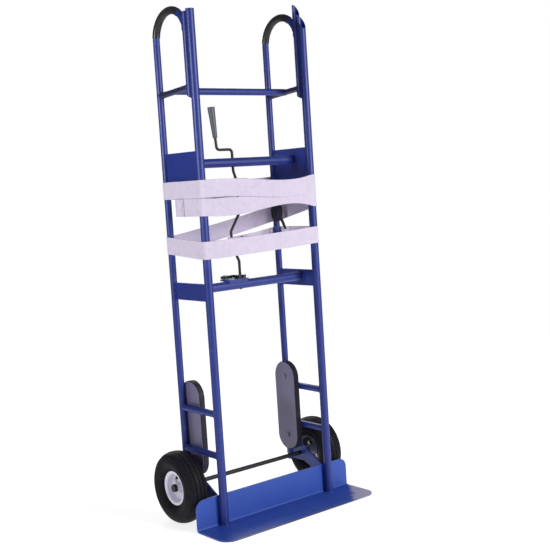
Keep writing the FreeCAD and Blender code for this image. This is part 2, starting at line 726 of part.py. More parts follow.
def winder_base():
    x0 = PAWL_X - PAWL_TAIL - PAST
    x1 = ROD_X + RATCHET_R + BASE_RIM
    y1 = PAWL_Y + PAWL_BOSS_R + PAWL_PIN_HEAD
    z0 = LOWER_BAR_Z + BAR_D / 2 - BASE_SKIRT
    base = box(x0, BAR_Y - BASE_FRONT, z0, x1, y1, BASE_TOP)
    upright = [edge for edge in base.Edges if edge.BoundBox.ZLength > BASE_TOP - z0 - WELD]
    base = base.makeFillet(BASE_ROUND, upright)
    bar_end = Vector(x0 - PAST, BAR_Y, LOWER_BAR_Z)
    bar = rod(bar_end, bar_end + Vector(x1 - x0 + 2 * PAST, 0, 0), BAR_D + 2 * WELD)
    shelf = box(x0 - PAST, BAR_Y + BAR_D / 2, z0 - PAST, x1 + PAST, y1 + PAST, BASE_TOP - BASE_T)
    base = base.cut(bar).cut(shelf).cut(winder_hole(z0 - PAST, BASE_TOP + PAST))
    return one(base.cut(on_pivot(z0, BASE_TOP + PAST, PAWL_PIN_D + 2 * WELD)))


def ratchet_wheel():
    points = []
    for k in range(TEETH):
        a = pi / 2 + 2 * pi * k / TEETH
        for radius in (RATCHET_R, RATCHET_R - TOOTH_H):
            points.append(at_winder(radius * cos(a), RATCHET_Z) + Vector(0, radius * sin(a), 0))
    wheel = flat(points, Vector(0, 0, RATCHET_T))
    top = RATCHET_Z + RATCHET_T
    bore = rod(at_winder(0, RATCHET_Z - PAST), at_winder(0, top + PAST), ROD_D + 2 * WELD)
    return one(wheel.cut(bore))


def on_pivot(z0, z1, diameter):
    return rod(Vector(PAWL_X, PAWL_Y, z0), Vector(PAWL_X, PAWL_Y, z1), diameter)


def pawl():
    z = RATCHET_Z + (RATCHET_T - PAWL_T) / 2
    tip = RATCHET_R - PAWL_BITE
    near = RATCHET_R + PAWL_CLEAR
    far = near + PAWL_ARM
    tail = PAWL_DX - PAWL_TAIL
    outline = [(-AIR, tip), (-AIR, far - PAWL_CHAMFER), (-AIR - PAWL_CHAMFER, far),
               (PAWL_DX, PAWL_DY + PAWL_BOSS_R), (tail, PAWL_DY + PAWL_TAIL_W), (tail, PAWL_DY),
               (PAWL_DX, PAWL_DY - PAWL_BOSS_R), (-PAWL_NOSE, near), (-AIR - PAWL_TIP_W, tip)]
    arm = flat([Vector(ROD_X + dx, BAR_Y + dy, z) for dx, dy in outline], Vector(0, 0, PAWL_T))
    lever = joined([arm, on_pivot(z, z + PAWL_T, 2 * PAWL_BOSS_R)])
    lever = one(lever.cut(on_pivot(z - PAST, z + PAWL_T + PAST, PAWL_PIN_D + 2 * FIT)))
    lever.rotate(Vector(PAWL_X, PAWL_Y, 0), Vector(0, 0, 1), PAWL_FREE)
    return lever


def pawl_pin():
    neck = RATCHET_Z + RATCHET_T + AIR
    head = on_pivot(neck, neck + PAWL_PIN_HEAD, PAWL_PIN_HEAD_D)
    return joined([on_pivot(BASE_TOP - BASE_T, neck, PAWL_PIN_D), head])


# Web straps

def outward(a, b):
    # direction in which the strap faces away from two posts, on the left of its way
    run = b[0] - a[0]
    ahead = run * (1 / run.Length)
    k = (a[1] - b[1]) / run.Length
    return ahead * k + Vector(-ahead.y, ahead.x, 0) * sqrt(1 - k * k)


def upright_face(p, q, low_p, low_q):
    corners = [Vector(p.x, p.y, low_p), Vector(q.x, q.y, low_q), Vector(q.x, q.y, low_q + STRAP_W),
               Vector(p.x, p.y, low_p + STRAP_W)]
    return Part.Face(Part.makePolygon(corners + corners[:1]))


def strap_run(a, b, low_a, low_b, normal):
    face = upright_face(a[0] + normal * a[1], b[0] + normal * b[1], low_a, low_b)
    return face.extrude(normal * STRAP_T)


def strap_turn(post, low, first, last):
    centre, radius = post
    section = upright_face(centre + first * radius, centre + first * (radius + STRAP_T), low, low)
    angle = degrees(atan2(first.y, first.x) - atan2(last.y, last.x)) % 360
    return section.revolve(centre, Vector(0, 0, -1), angle)


def strap(stops, first):
    # stops are (post, lower edge) in order; first is where the eye's turn begins
    normals = [outward(a[0], b[0]) for a, b in zip(stops, stops[1:])]
    pieces = []
    for (post, low), before, after in zip(stops, [first] + normals, normals):
        pieces.append(strap_turn(post, low, before, after))
    for (a, low_a), (b, low_b), normal in zip(stops, stops[1:], normals):
        pieces.append(strap_run(a, b, low_a, low_b, normal))
    return joined(pieces)


RAIL_POST_R = RAIL_D / 2 + WELD
TUBE_POST_R = TUBE_D / 2 + WELD
REAR_LEFT = (Vector(-HALF, FRAME_D, 0), TUBE_POST_R)
FRONT_LEFT = (Vector(-HALF, 0, 0), RAIL_POST_R)
REAR_RIGHT = (Vector(HALF, FRAME_D, 0), TUBE_POST_R)
FRONT_RIGHT = (Vector(HALF, 0, 0), RAIL_POST_R)
EYE_START = Vector(0.6, 0.8, 0)


def strap_upper():
    over = TUBE_POST_R + STRAP_T + AIR
    eye = (at_winder(0, 0), EYE_TOP_R)
    taper = (RAIL_POST_R - TUBE_POST_R) / FRAME_D
    tail = (Vector(HALF, FRAME_D - STRAP_TAIL, 0), over + taper * STRAP_TAIL)
    route = [eye, REAR_RIGHT, FRONT_RIGHT, FRONT_LEFT, REAR_LEFT, (REAR_RIGHT[0], over), tail]
    return strap([(post, STRAP_TOP_Z) for post in route], EYE_START)


def strap_lower():
    low = STRAP_LOW_Z
    lowest = STRAP_LOW_Z - STRAP_LOW_SINK
    mid = STRAP_MID_Z
    hem_y = FRAME_D - HEM_END
    eye = (at_winder(0, 0), EYE_LOW_R)
    hem_end = (Vector(-HALF, hem_y, 0), RAIL_POST_R)
    stops = [(eye, lowest), (REAR_RIGHT, low), (FRONT_RIGHT, low), (FRONT_LEFT, lowest), (REAR_LEFT, low),
             (REAR_RIGHT, mid - STRAP_SINK), (FRONT_RIGHT, mid), (FRONT_LEFT, mid), (hem_end, mid)]
    x = -HALF - RAIL_POST_R - STRAP_T
    hem = box(x - STRAP_T, hem_y - HEM_LEN, mid, x, hem_y, mid + STRAP_W)
    return joined([strap(stops, EYE_START), hem])


def edges_across(shape):
    return [edge for edge in shape.Edges if edge.BoundBox.XLength > HOOK_T / 2]


def hook_plate():
    x1 = HALF - TUBE_D / 2 - WELD
    x0 = x1 - HOOK_T
    y1 = FRAME_D + TUBE_D / 2 - HOOK_T
    y0 = y1 - HOOK_W
    middle = (y0 + y1) / 2
    low = HOOK_Z - HOOK_H / 2
    high = HOOK_Z + HOOK_H / 2
    plate = box(x0, y0, low, x1, y1, high)
    plate = plate.makeFillet(HOOK_ROUND, edges_across(plate))
    slot = box(x0 - PAST, middle - HOOK_SLOT_W / 2, HOOK_Z - HOOK_SLOT_H / 2,
               x1 + PAST, middle + HOOK_SLOT_W / 2, HOOK_Z + HOOK_SLOT_H / 2)
    slot = slot.makeFillet(HOOK_SLOT_ROUND, edges_across(slot))
    root = low + PRONG_ROOT
    claw = [(middle + CLAW_W, root), (middle + 2 * CLAW_W, root),
            (middle + 2 * CLAW_W, low - CLAW_LEN), (middle + CLAW_W, low - CLAW_LEN)]
    beak = [(y0 + 2 * BEAK_W, root), (y0 + BEAK_W / 2, root), (y0 - BEAK_REACH / 2, low - BEAK_LEN / 3),
            (y0 - BEAK_REACH, low - BEAK_LEN), (y0 - BEAK_REACH + BEAK_W, low - BEAK_LEN),
            (y0 + BEAK_W / 2, low - BEAK_LEN / 4)]
    return joined([plate.cut(slot), side_plate(claw, x0, x1), side_plate(beak, x0, x1)])


def build():
    os.makedirs("parts", exist_ok=True)
    nose = nose_plate()
    save("nose_plate", nose)
    save("rail_right", one(rail(nose, TIP_TOP).cut(tip_waste())))
    save("rail_left", mirrored(rail(nose, RAIL_TOP)))
    save("rear_tube_right", one(rear_tube(TIP_TOP).cut(tip_waste())))
    save("rear_tube_left", mirrored(rear_tube(RAIL_TOP - LEG_SHY)))
    save_pair("hand_grip", hand_grip())
    save_pair("top_brace", top_brace())
    save("top_bar", top_bar())
    save("upper_bar", cross_bar(UPPER_BAR_Z))
    save("lower_bar", cross_bar(LOWER_BAR_Z))
    save_pair("upper_panel", side_panel(UPPER_BAR_Z, UPPER_PANEL_BELOW, UPPER_PANEL_ABOVE))
    save_pair("lower_panel", side_panel(LOWER_BAR_Z, LOWER_PANEL_BELOW, LOWER_PANEL_ABOVE))
    save_pair("upper_rung", rung(UPPER_RUNG_Z))
    save_pair("lower_rung", rung(LOWER_RUNG_Z))
    save_pair("axle_bracket", axle_bracket())

    save("axle", axle())
    save("axle_spacers", axle_spacer(), mirrored(axle_spacer()))
    save("axle_caps", axle_cap(), mirrored(axle_cap()))
    save_pair("tyre", tyre())
    save_pair("inner_tube", inner_tube())
    save_pair("rim_outer", rim_half(1))
    save_pair("rim_inner", rim_half(-1))
    save_pair("rim_bolts", *rim_bolts())
    save_pair("hub", hub())
    save_pair("bearings", *bearings())

    save_pair("climber_plate_in", climber_plate(CLIMB_IN))
    save_pair("climber_plate_out", climber_plate(CLIMB_OUT - CLIMB_PLATE_T))
    save_pair("climber_belt", climber_belt())
    save_pair("roller_high", climber_roller(CLIMB_HIGH_Z))
    save_pair("roller_low", climber_roller(CLIMB_LOW_Z))
    pins = [climber_pin(CLIMB_LOW_Z), climber_pin(CLIMB_HIGH_Z)]
    save("climber_pins", *pins, *[mirrored(pin) for pin in pins])
    save("climber_posts", climber_post(), mirrored(climber_post()))

    save("crank_rod", crank_rod())
    save("crank_grip", crank_grip())
    save("winder_base", winder_base())
    save("ratchet_wheel", ratchet_wheel())
    save("pawl", pawl())
    save("pawl_pin", pawl_pin())
    save("strap_upper", strap_upper())
    save("strap_lower", strap_lower())
    save("hook_plate", hook_plate())


build()
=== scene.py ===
# %% [markdown]
# # Dressing an appliance hand truck
# An appliance hand truck is a tall frame of welded tubes on two wheels, with straps that hold the load.
# Its construction comes from CAD as one fixed frame of named pieces, in metres. This lesson adds what a
# CAD solid lacks: paint, rubber, woven webbing, weld beads and tread. New pieces are placed by the same
# sizes as the frame, which fits better than placing them by eye.

# %% Load the frame
import json
import math
import bpy
import numpy as np
from mathutils import Matrix, Vector


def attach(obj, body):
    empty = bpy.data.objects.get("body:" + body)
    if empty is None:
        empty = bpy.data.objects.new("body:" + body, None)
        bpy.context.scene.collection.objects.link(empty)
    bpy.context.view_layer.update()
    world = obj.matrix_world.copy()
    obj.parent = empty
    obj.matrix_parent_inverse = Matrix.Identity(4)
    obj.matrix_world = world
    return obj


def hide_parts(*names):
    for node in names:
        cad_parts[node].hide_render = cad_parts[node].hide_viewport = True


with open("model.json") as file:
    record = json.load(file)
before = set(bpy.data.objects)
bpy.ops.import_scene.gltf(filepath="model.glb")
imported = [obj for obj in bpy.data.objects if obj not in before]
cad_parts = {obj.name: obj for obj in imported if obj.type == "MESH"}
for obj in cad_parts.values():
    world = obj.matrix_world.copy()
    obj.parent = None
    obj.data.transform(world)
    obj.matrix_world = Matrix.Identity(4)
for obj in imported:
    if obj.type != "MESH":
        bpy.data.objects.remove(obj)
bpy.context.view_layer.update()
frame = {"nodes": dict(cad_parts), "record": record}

MM = 0.001
nodes = frame["nodes"]

# %% [markdown]
# ## The camera
# The truck is seen from a little above the cross bars, from the left, with the camera leaning slightly.
# The direction of view and the focal length were found by fitting the straight tubes, so the camera
# is written as a place and three directions. The picture is 550 pixels wide on a 36 mm sensor.

# %% Place the camera
EYE = Vector((-2.27105, -2.86804, 1.20023))
RIGHT = Vector((0.77229161, -0.63212484, -0.06311773))
UP = Vector((0.10588874, 0.03012524, 0.99392155))
FOCAL_PIXELS = 1011.59
PICTURE_PIXELS = 550
SENSOR = 36.0

lens = bpy.data.cameras.new("camera")
lens.sensor_width = SENSOR
lens.lens = SENSOR * FOCAL_PIXELS / PICTURE_PIXELS
camera = bpy.data.objects.new("camera", lens)
bpy.context.scene.collection.objects.link(camera)
turned = Matrix((RIGHT, UP, RIGHT.cross(UP))).transposed()
camera.matrix_world = Matrix.Translation(EYE) @ turned.to_4x4()
bpy.context.scene.camera = camera
print("lens:", round(lens.lens, 2), "mm")

# %% [markdown]
# ## White sky
# The truck is shown on plain white. A curved backdrop could be built, but a white world does the same
# with nothing to hide from view. It is seen at full strength and lights the object far less, or the
# shading would drown.

# %% Build the sky
SKY_SEEN = 1.0
SKY_LIGHT = 0.15
WHITE = (1.0, 1.0, 1.0, 1.0)

bpy.context.scene.view_settings.view_transform = "Standard"
world = bpy.data.worlds.new("studio")
bpy.context.scene.world = world
world.use_nodes = True
sky = world.node_tree.nodes["Background"]
sky.inputs["Color"].default_value = WHITE
ray = world.node_tree.nodes.new("ShaderNodeLightPath")
level = world.node_tree.nodes.new("ShaderNodeMapRange")
level.inputs["To Min"].default_value = SKY_LIGHT
level.inputs["To Max"].default_value = SKY_SEEN
world.node_tree.links.new(ray.outputs["Is Camera Ray"], level.inputs["Value"])
world.node_tree.links.new(level.outputs["Result"], sky.inputs["Strength"])
print("sky seen:", SKY_SEEN, "lighting:", SKY_LIGHT)

# %% [markdown]
# ## Lamps
# A large soft lamp on the right lights the front. A small one high on the left has a narrow beam, which
# brightens the upper tubes and the straps. A soft one behind keeps the back from going dark. Area lamps
# were chosen over spots, because their size softens shadows and highlights.

# %% Hang the lamps
def lamp(name, place, target, size, watts, spread=180.0):
    light = bpy.data.lights.new(name, "AREA")
    light.shape = "RECTANGLE"
    light.size, light.size_y = size
    light.energy = watts
    light.spread = math.radians(spread)
    obj = bpy.data.objects.new(name, light)
    bpy.context.scene.collection.objects.link(obj)
    aim = Vector(target) - Vector(place)
    obj.rotation_euler = aim.to_track_quat("-Z", "Y").to_euler()
    obj.location = place
    print("lamp:", name, watts, "W")


lamp("front", (1.2, -3.8, 1.9), (0, 0, 0.9), (1.6, 2.0), 150)
lamp("side", (-3.7, 0.1, 1.72), (0, 0.1, 1.35), (0.5, 0.5), 8, spread=55.0)
lamp("back", (1.6, 3.6, 2.4), (0, 0.1, 0.9), (2.4, 2.4), 70)

# %% [markdown] ## Floor A flat disc under the wheels catches the contact shadow.

# %% Lay the floor
FLOOR_R = 6.0
FLOOR_SIDES = 96

spokes = np.arange(FLOOR_SIDES) * math.tau / FLOOR_SIDES
floor_rim = [(FLOOR_R * math.cos(a), FLOOR_R * math.sin(a), 0) for a in spokes]
floor_mesh = bpy.data.meshes.new("floor")
floor_mesh.from_pydata(floor_rim, [], [range(FLOOR_SIDES)])
floor = bpy.data.objects.new("floor", floor_mesh)
bpy.context.scene.collection.objects.link(floor)
print("floor:", 2 * FLOOR_R, "m wide")

# %% [markdown]
# ## Node groups
# Paint, steel and rubber share some effects: a slow change of tone, the fine pebbling of a sprayed
# skin, edges rubbed by handling, dust that settles on what faces up. Each one is a node group with
# named sockets, so a material says how much of it to use. Groups give out masks and heights only.

# %% Start a node group
def node_group(name, inputs, outputs):
    # an input without a value is a vector
    tree = bpy.data.node_groups.new(name, "ShaderNodeTree")
    for label, value in inputs.items():
        kind = "NodeSocketVector" if value is None else "NodeSocketFloat"
        socket = tree.interface.new_socket(label, in_out="INPUT", socket_type=kind)
        if value is not None:
            socket.default_value = value
    for label in outputs:
        tree.interface.new_socket(label, in_out="OUTPUT", socket_type="NodeSocketFloat")
    print("group:", name, "takes", list(inputs), "gives", outputs)
    return tree, tree.nodes.new("NodeGroupInput"), tree.nodes.new("NodeGroupOutput")


def join(tree, *pairs):
    for source, target in pairs:
        tree.links.new(source, target)


print("node groups can be made")

# %% Nodes in one line each
def feed(tree, socket, value):
    if isinstance(value, (int, float)):
        socket.default_value = value
    else:
        tree.links.new(value, socket)


def maths(tree, operation, *values):
    node = tree.nodes.new("ShaderNodeMath")
    node.operation = operation
    for socket, value in zip(node.inputs, values):
        feed(tree, socket, value)
    return node.outputs[0]


def noise(tree, place, scale, detail):
    node = tree.nodes.new("ShaderNodeTexNoise")
    node.inputs["Detail"].default_value = detail
    tree.links.new(place, node.inputs["Vector"])
    feed(tree, node.inputs["Scale"], scale)
    return node.outputs[0]


def between(tree, value, low, high):
    # 0 at low and 1 at high, also when low is the larger of the two
    node = tree.nodes.new("ShaderNodeMapRange")
    node.inputs["From Min"].default_value = low
    node.inputs["From Max"].default_value = high
    tree.links.new(value, node.inputs["Value"])
    return node.outputs["Result"]


print("short forms:", [form.__name__ for form in (maths, noise, between)])

# %% [markdown]
# ## Sprayed skin
# Sprayed paint and moulded rubber are never one even tone, and their skin is faintly pebbled. Two
# noises of very different size give both. A painted picture could too, but noise has no seams and stays
# sharp at any distance.

# %% The sprayed skin group
TONE_DETAIL, PEBBLE_DETAIL = 3.0, 1.0

skin, given, out = node_group(
    "sprayed_skin", {"Place": None, "Tone Scale": 6.0, "Pebble Scale": 900.0}, ["Tone", "Pebble"])
tone = noise(skin, given.outputs["Place"], given.outputs["Tone Scale"], TONE_DETAIL)
pebble = noise(skin, given.outputs["Place"], given.outputs["Pebble Scale"], PEBBLE_DETAIL)
join(skin, (tone, out.inputs["Tone"]), (pebble, out.inputs["Pebble"]))

# %% [markdown]
# ## Rubbed edges
# Paint goes first where pieces are knocked, on their edges. A Bevel node turns the normal near an edge;
# the more it differs from the true one, the sharper the edge. Noise then leaves paint in some places,
# since a real edge isn't rubbed evenly.

# %% The rubbed edge group
EDGE_TURN = (0.02, 0.20)
EDGE_SAMPLES = 6
PATCH_LIMITS, PATCH_DETAIL = (0.55, 0.75), 6.0
AMOUNT_SHARE = 0.5

rub, given, out = node_group(
    "rubbed_edge", {"Place": None, "Width": 0.003, "Patch Scale": 25.0, "Amount": 0.5}, ["Mask"])
bevel = rub.nodes.new("ShaderNodeBevel")
bevel.samples = EDGE_SAMPLES
surface = rub.nodes.new("ShaderNodeNewGeometry")
dot = rub.nodes.new("ShaderNodeVectorMath")
dot.operation = "DOT_PRODUCT"
join(rub, (given.outputs["Width"], bevel.inputs["Radius"]), (bevel.outputs["Normal"], dot.inputs[0]),
     (surface.outputs["Normal"], dot.inputs[1]))
on_edge = between(rub, maths(rub, "SUBTRACT", 1.0, dot.outputs["Value"]), *EDGE_TURN)
patches = noise(rub, given.outputs["Place"], given.outputs["Patch Scale"], PATCH_DETAIL)
raised = maths(rub, "ADD", patches, maths(rub, "MULTIPLY", given.outputs["Amount"], AMOUNT_SHARE))
worn = between(rub, raised, *PATCH_LIMITS)
join(rub, (maths(rub, "MULTIPLY", on_edge, worn), out.inputs["Mask"]))

# %% [markdown]
# ## Settled dust
# Dust lies on what faces up and gathers in patches. The true normal's upright part tells how much a
# face looks up, which is simpler than dust made of loose points.

# %% The settled dust group
LEVEL_LIMITS = (0.1, 1.0)
DRIFT_LIMITS = (0.35, 0.7)
DRIFT_DETAIL = 5.0

dust, given, out = node_group("settled_dust", {"Place": None, "Amount": 0.3, "Patch Scale": 14.0}, ["Mask"])
surface = dust.nodes.new("ShaderNodeNewGeometry")
split = dust.nodes.new("ShaderNodeSeparateXYZ")
join(dust, (surface.outputs["Normal"], split.inputs[0]))
facing_up = between(dust, split.outputs["Z"], *LEVEL_LIMITS)
drifts = noise(dust, given.outputs["Place"], given.outputs["Patch Scale"], DRIFT_DETAIL)
lying = maths(dust, "MULTIPLY", facing_up, between(dust, drifts, *DRIFT_LIMITS))
join(dust, (maths(dust, "MULTIPLY", lying, given.outputs["Amount"]), out.inputs["Mask"]))

# %% [markdown]
# ## Scuffs
# Long thin marks come from loads and walls that slide along. Noise that is stretched hard along one axis
# breaks into streaks, and two directions together look like use. Single scratches drawn by hand would
# repeat and be noticed.

# %% The scuffs group
SCUFF_STRETCHES = ((1.0, 0.06, 1.0), (0.08, 1.0, 0.6))
SCUFF_LIMITS = (0.62, 0.70)
SCUFF_DETAIL = 8.0

scuff, given, out = node_group("scuffs", {"Place": None, "Scale": 40.0, "Amount": 0.5}, ["Mask"])
streaks = []
for stretch in SCUFF_STRETCHES:
    pull = scuff.nodes.new("ShaderNodeVectorMath")
    pull.operation = "MULTIPLY"
    pull.inputs[1].default_value = stretch
    join(scuff, (given.outputs["Place"], pull.inputs[0]))
    drawn = noise(scuff, pull.outputs[0], given.outputs["Scale"], SCUFF_DETAIL)
    streaks.append(between(scuff, drawn, *SCUFF_LIMITS))
marks = maths(scuff, "MAXIMUM", *streaks)
join(scuff, (maths(scuff, "MULTIPLY", marks, given.outputs["Amount"]), out.inputs["Mask"]))

# %% [markdown]
# ## A finish from parts
# Every finish here is one Principled shader. Its colour starts as two close tones, and masks from the
# groups then lay wear, scuffs and dust over it. The same masks change roughness, so a rubbed edge
# also shines differently. Numbers that don't vary are set on the shader itself.

# %% Two tones
TONE_LIMITS = (0.3, 0.7)


class Tones:
    def __init__(self, name, tones, roughness, metallic=0.0):
        self.material = bpy.data.materials.new(name)
        self.material.use_nodes = True
        self.tree = self.material.node_tree
        self.shader = self.tree.nodes["Principled BSDF"]
        self.shader.inputs["Metallic"].default_value = metallic
        self.place = self.tree.nodes.new("ShaderNodeTexCoord").outputs["Object"]
        self.normal = None
        self.skin = self.use(skin)
        self.colour = self.mix(self.skin.outputs["Tone"], *tones)
        spread = self.tree.nodes.new("ShaderNodeMapRange")
        limits = zip(("From Min", "From Max", "To Min", "To Max"), (*TONE_LIMITS, *roughness))
        for label, value in limits:
            spread.inputs[label].default_value = value
        join(self.tree, (self.skin.outputs["Tone"], spread.inputs["Value"]))
        self.roughness = spread.outputs["Result"]

    def use(self, group, **values):
        node = self.tree.nodes.new("ShaderNodeGroup")
        node.node_tree = group
        if "Place" in node.inputs:
            join(self.tree, (self.place, node.inputs["Place"]))
        for label, value in values.items():
            node.inputs[label.replace("_", " ")].default_value = value
        return node

    def mix(self, mask, first, second):
        node = self.tree.nodes.new("ShaderNodeMix")
        node.data_type = "RGBA"
        join(self.tree, (mask, node.inputs["Factor"]))
        for socket, value in ((node.inputs[6], first), (node.inputs[7], second)):
            if isinstance(value, tuple):
                socket.default_value = (*value, 1.0)
            else:
                join(self.tree, (value, socket))
        return node.outputs[2]


print("tones change over", TONE_LIMITS, "of the noise")

# %% Wear, height and closing
class Finish(Tones):
    def lay(self, mask, colour, roughness):
        self.colour = self.mix(mask, self.colour, colour)
        ease = self.tree.nodes.new("ShaderNodeMix")
        join(self.tree, (mask, ease.inputs["Factor"]), (self.roughness, ease.inputs[2]))
        ease.inputs[3].default_value = roughness
        self.roughness = ease.outputs[0]

    def wear(self, group, colour, roughness, **values):
        self.lay(self.use(group, **values).outputs["Mask"], colour, roughness)

    def raise_by(self, height, distance):
        bump = self.tree.nodes.new("ShaderNodeBump")
        bump.inputs["Distance"].default_value = distance
        bump.inputs["Strength"].default_value = 1.0
        join(self.tree, (height, bump.inputs["Height"]))
        self.normal = bump.outputs["Normal"]

    def done(self, **fixed):
        for label, value in fixed.items():
            self.shader.inputs[label.replace("_", " ")].default_value = value
        join(self.tree, (self.colour, self.shader.inputs["Base Color"]),
             (self.roughness, self.shader.inputs["Roughness"]))
        if self.normal is not None:
            join(self.tree, (self.normal, self.shader.inputs["Normal"]))
        print("finish:", self.material.name)
        return self.material


print("a finish can:", [step for step in vars(Finish) if not step.startswith("_")])

# %% Colours by number
def rgb(*levels):
    # screen levels of 0 to 255 as the linear colours that shaders work with
    shares = [level / 255 for level in levels]
    return tuple(s / 12.92 if s < 0.04045 else ((s + 0.055) / 1.055) ** 2.4 for s in shares)


print("middle grey:", round(rgb(128, 128, 128)[0], 3))

# %% [markdown]
# ## Blue paint
# The frame is sprayed a deep blue with a soft gloss. Real enamel pebbles slightly, so a fine noise bumps
# it, and a thin clear coat carries the highlights. Corners that meet door frames lose some paint, and
# level faces gather dust.

# %% Paint with wear
BARE_STEEL, STEEL_ROUGHNESS = rgb(120, 118, 124), 0.45
DUST, DUST_ROUGHNESS = rgb(150, 146, 150), 0.8
PAINT_PEBBLE = 0.02 * MM
WORN_WIDTH = 1.6 * MM


def painted(name, tones, edge=0.25, grime=0.10, gloss=(0.30, 0.42)):
    finish = Finish(name, tones, gloss)
    finish.raise_by(finish.skin.outputs["Pebble"], PAINT_PEBBLE)
    finish.wear(rub, BARE_STEEL, STEEL_ROUGHNESS, Width=WORN_WIDTH, Amount=edge)
    finish.wear(dust, DUST, DUST_ROUGHNESS, Amount=grime)
    return finish


print("paint wears off edges", WORN_WIDTH / MM, "mm wide")

# %% Frame paint and dark paint
frame_blue = painted("blue_paint", (rgb(20, 39, 119), rgb(25, 47, 132)), gloss=(0.40, 0.52))
frame_blue.wear(scuff, rgb(62, 84, 158), 0.5, Scale=28.0, Amount=0.18)
blue_paint = frame_blue.done(Coat_Weight=0.06, Coat_Roughness=0.35)

dark = painted("dark_paint", (rgb(26, 22, 62), rgb(32, 28, 78)))
dark_paint = dark.done(Coat_Weight=0.2, Coat_Roughness=0.2)

# %% [markdown]
# ## Worn toe paint
# The toe plate slides under every load and over every kerb. Its front edge is scraped to dull metal, and
# its right front corner is painted pale lilac, partly worn paint and partly a painted sheen. Both borders
# follow a distance across the plate that noise frays, because real wear has a direction and a ragged end.

# %% Borders that fray
CHIP_SCALE, CHIP_DETAIL = 36.0, 8.0

# the toe's blue is lighter than the frame's, partly a lighter paint and partly painted light
toe = painted("toe_paint", (rgb(32, 69, 160), rgb(38, 77, 172)), edge=0.55, grime=0.02, gloss=(0.46, 0.58))
toe_place = toe.tree.nodes.new("ShaderNodeSeparateXYZ")
join(toe.tree, (toe.place, toe_place.inputs[0]))


def along_way(x, y):
    # how far a point of the toe plate lies in one level direction
    return maths(toe.tree, "ADD", maths(toe.tree, "MULTIPLY", toe_place.outputs["X"], x),
                 maths(toe.tree, "MULTIPLY", toe_place.outputs["Y"], y))


def frayed(distance, reach, limits):
    chips = noise(toe.tree, toe.place, CHIP_SCALE, CHIP_DETAIL)
    moved = maths(toe.tree, "ADD", distance, maths(toe.tree, "MULTIPLY", chips, reach))
    return between(toe.tree, moved, *limits)


print("chips at scale", CHIP_SCALE)

# %% Toe paint
EDGE_WAY, EDGE_FRAY, EDGE_LIMITS = (0.0, -1.0), 0.03, (0.152, 0.168)
CORNER_WAY, CORNER_FRAY, CORNER_LIMITS = (0.77, -0.63), 0.05, (0.292, 0.314)
PLATE_LIMITS = (0.03, 0.01)

toe.lay(frayed(along_way(*EDGE_WAY), EDGE_FRAY, EDGE_LIMITS), rgb(96, 95, 112), 0.4)
# painted sheen and wear: the right front corner of the plate turns pale lilac
corner = frayed(along_way(*CORNER_WAY), CORNER_FRAY, CORNER_LIMITS)
low_down = between(toe.tree, toe_place.outputs["Z"], *PLATE_LIMITS)
toe.lay(maths(toe.tree, "MULTIPLY", corner, low_down), rgb(160, 156, 188), 0.45)
toe.wear(scuff, rgb(70, 84, 150), 0.5, Amount=0.35)
toe_paint = toe.done(Coat_Weight=0.06, Coat_Roughness=0.35)

# %% [markdown]
# ## Enamel
# Pressed rims and hubs are white enamel on the outside. The inner halves of the rims sit in the shade of
# the frame, and their dark navy paint is painted shade; the climber plates are mid-grey. All are the same
# sprayed paint in other tones, so they reuse its maker.

# %% Enamel finishes
rim = painted("rim_paint", (rgb(225, 221, 240), rgb(238, 234, 250)), edge=0.1, grime=0.3)
rim_paint = rim.done(Coat_Weight=0.3, Coat_Roughness=0.1)
# painted shade: the inner rim halves are dark navy for the shade of the frame
rim_back_painted_shade = painted("rim_back_painted_shade", (rgb(40, 42, 68), rgb(54, 56, 84)), edge=0.1, grime=0.12).done()
grey = painted("grey_paint", (rgb(103, 97, 128), rgb(115, 109, 141)), edge=0.4, grime=0.2)
grey_paint = grey.done(Coat_Weight=0.05)

# %% [markdown]
# ## Bare metal
# Nuts, bearings and sleeves are zinc plated: a metal with a cloudy roughness and fine scratches. The
# crank parts and axle caps are blackened steel, dark and only partly metallic, with bright edges where
# the black is gone.

# %% Metal finishes
plated = Finish("zinc", (rgb(178, 176, 170), rgb(200, 198, 194)), (0.28, 0.45), metallic=1.0)
plated.raise_by(plated.skin.outputs["Pebble"], 0.03 * MM)
plated.wear(scuff, rgb(140, 138, 134), 0.5, Scale=90.0, Amount=0.5)
zinc = plated.done()

blackened = Finish("black_steel", (rgb(30, 30, 34), rgb(42, 42, 46)), (0.38, 0.52), metallic=0.4)
blackened.raise_by(blackened.skin.outputs["Pebble"], 0.04 * MM)
blackened.wear(rub, rgb(96, 94, 92), 0.35, Width=1.2 * MM, Amount=0.5)
black_steel = blackened.done()

# %% [markdown]
# ## Rubber and plastic
# Tyre rubber greys a little where it scuffs the floor and blooms along the side walls. The grips are
# dipped vinyl with a soft sheen, the crank grip a moulded plastic, the belts a fine matt rubber. One
# maker serves them all, since moulds leave the same kind of skin.

# %% Moulded skins
MOULD_TONE_SCALE, MOULD_PEBBLE_SCALE = 18.0, 1400.0
BLOOM, BLOOM_ROUGHNESS, BLOOM_SCALE = rgb(84, 80, 86), 0.7, 60.0
GRIME, GRIME_ROUGHNESS = rgb(120, 114, 112), 0.9


def moulded(name, tones, roughness, pebble, grime, bloom):
    finish = Finish(name, tones, roughness)
    finish.skin.inputs["Tone Scale"].default_value = MOULD_TONE_SCALE
    finish.skin.inputs["Pebble Scale"].default_value = MOULD_PEBBLE_SCALE
    finish.raise_by(finish.skin.outputs["Pebble"], pebble * MM)
    finish.wear(scuff, BLOOM, BLOOM_ROUGHNESS, Scale=BLOOM_SCALE, Amount=bloom)
    finish.wear(dust, GRIME, GRIME_ROUGHNESS, Amount=grime)
    return finish


print("moulded skins pebble at scale", MOULD_PEBBLE_SCALE)

# %% Rubber and plastic finishes
tyre_tones, belt_tones = (rgb(13, 12, 20), rgb(19, 18, 28)), (rgb(20, 18, 29), rgb(30, 27, 40))
grip_tones, crank_tones = (rgb(22, 22, 26), rgb(30, 30, 34)), (rgb(70, 74, 82), rgb(84, 88, 96))
roller_tones = (rgb(60, 60, 64), rgb(72, 72, 76))

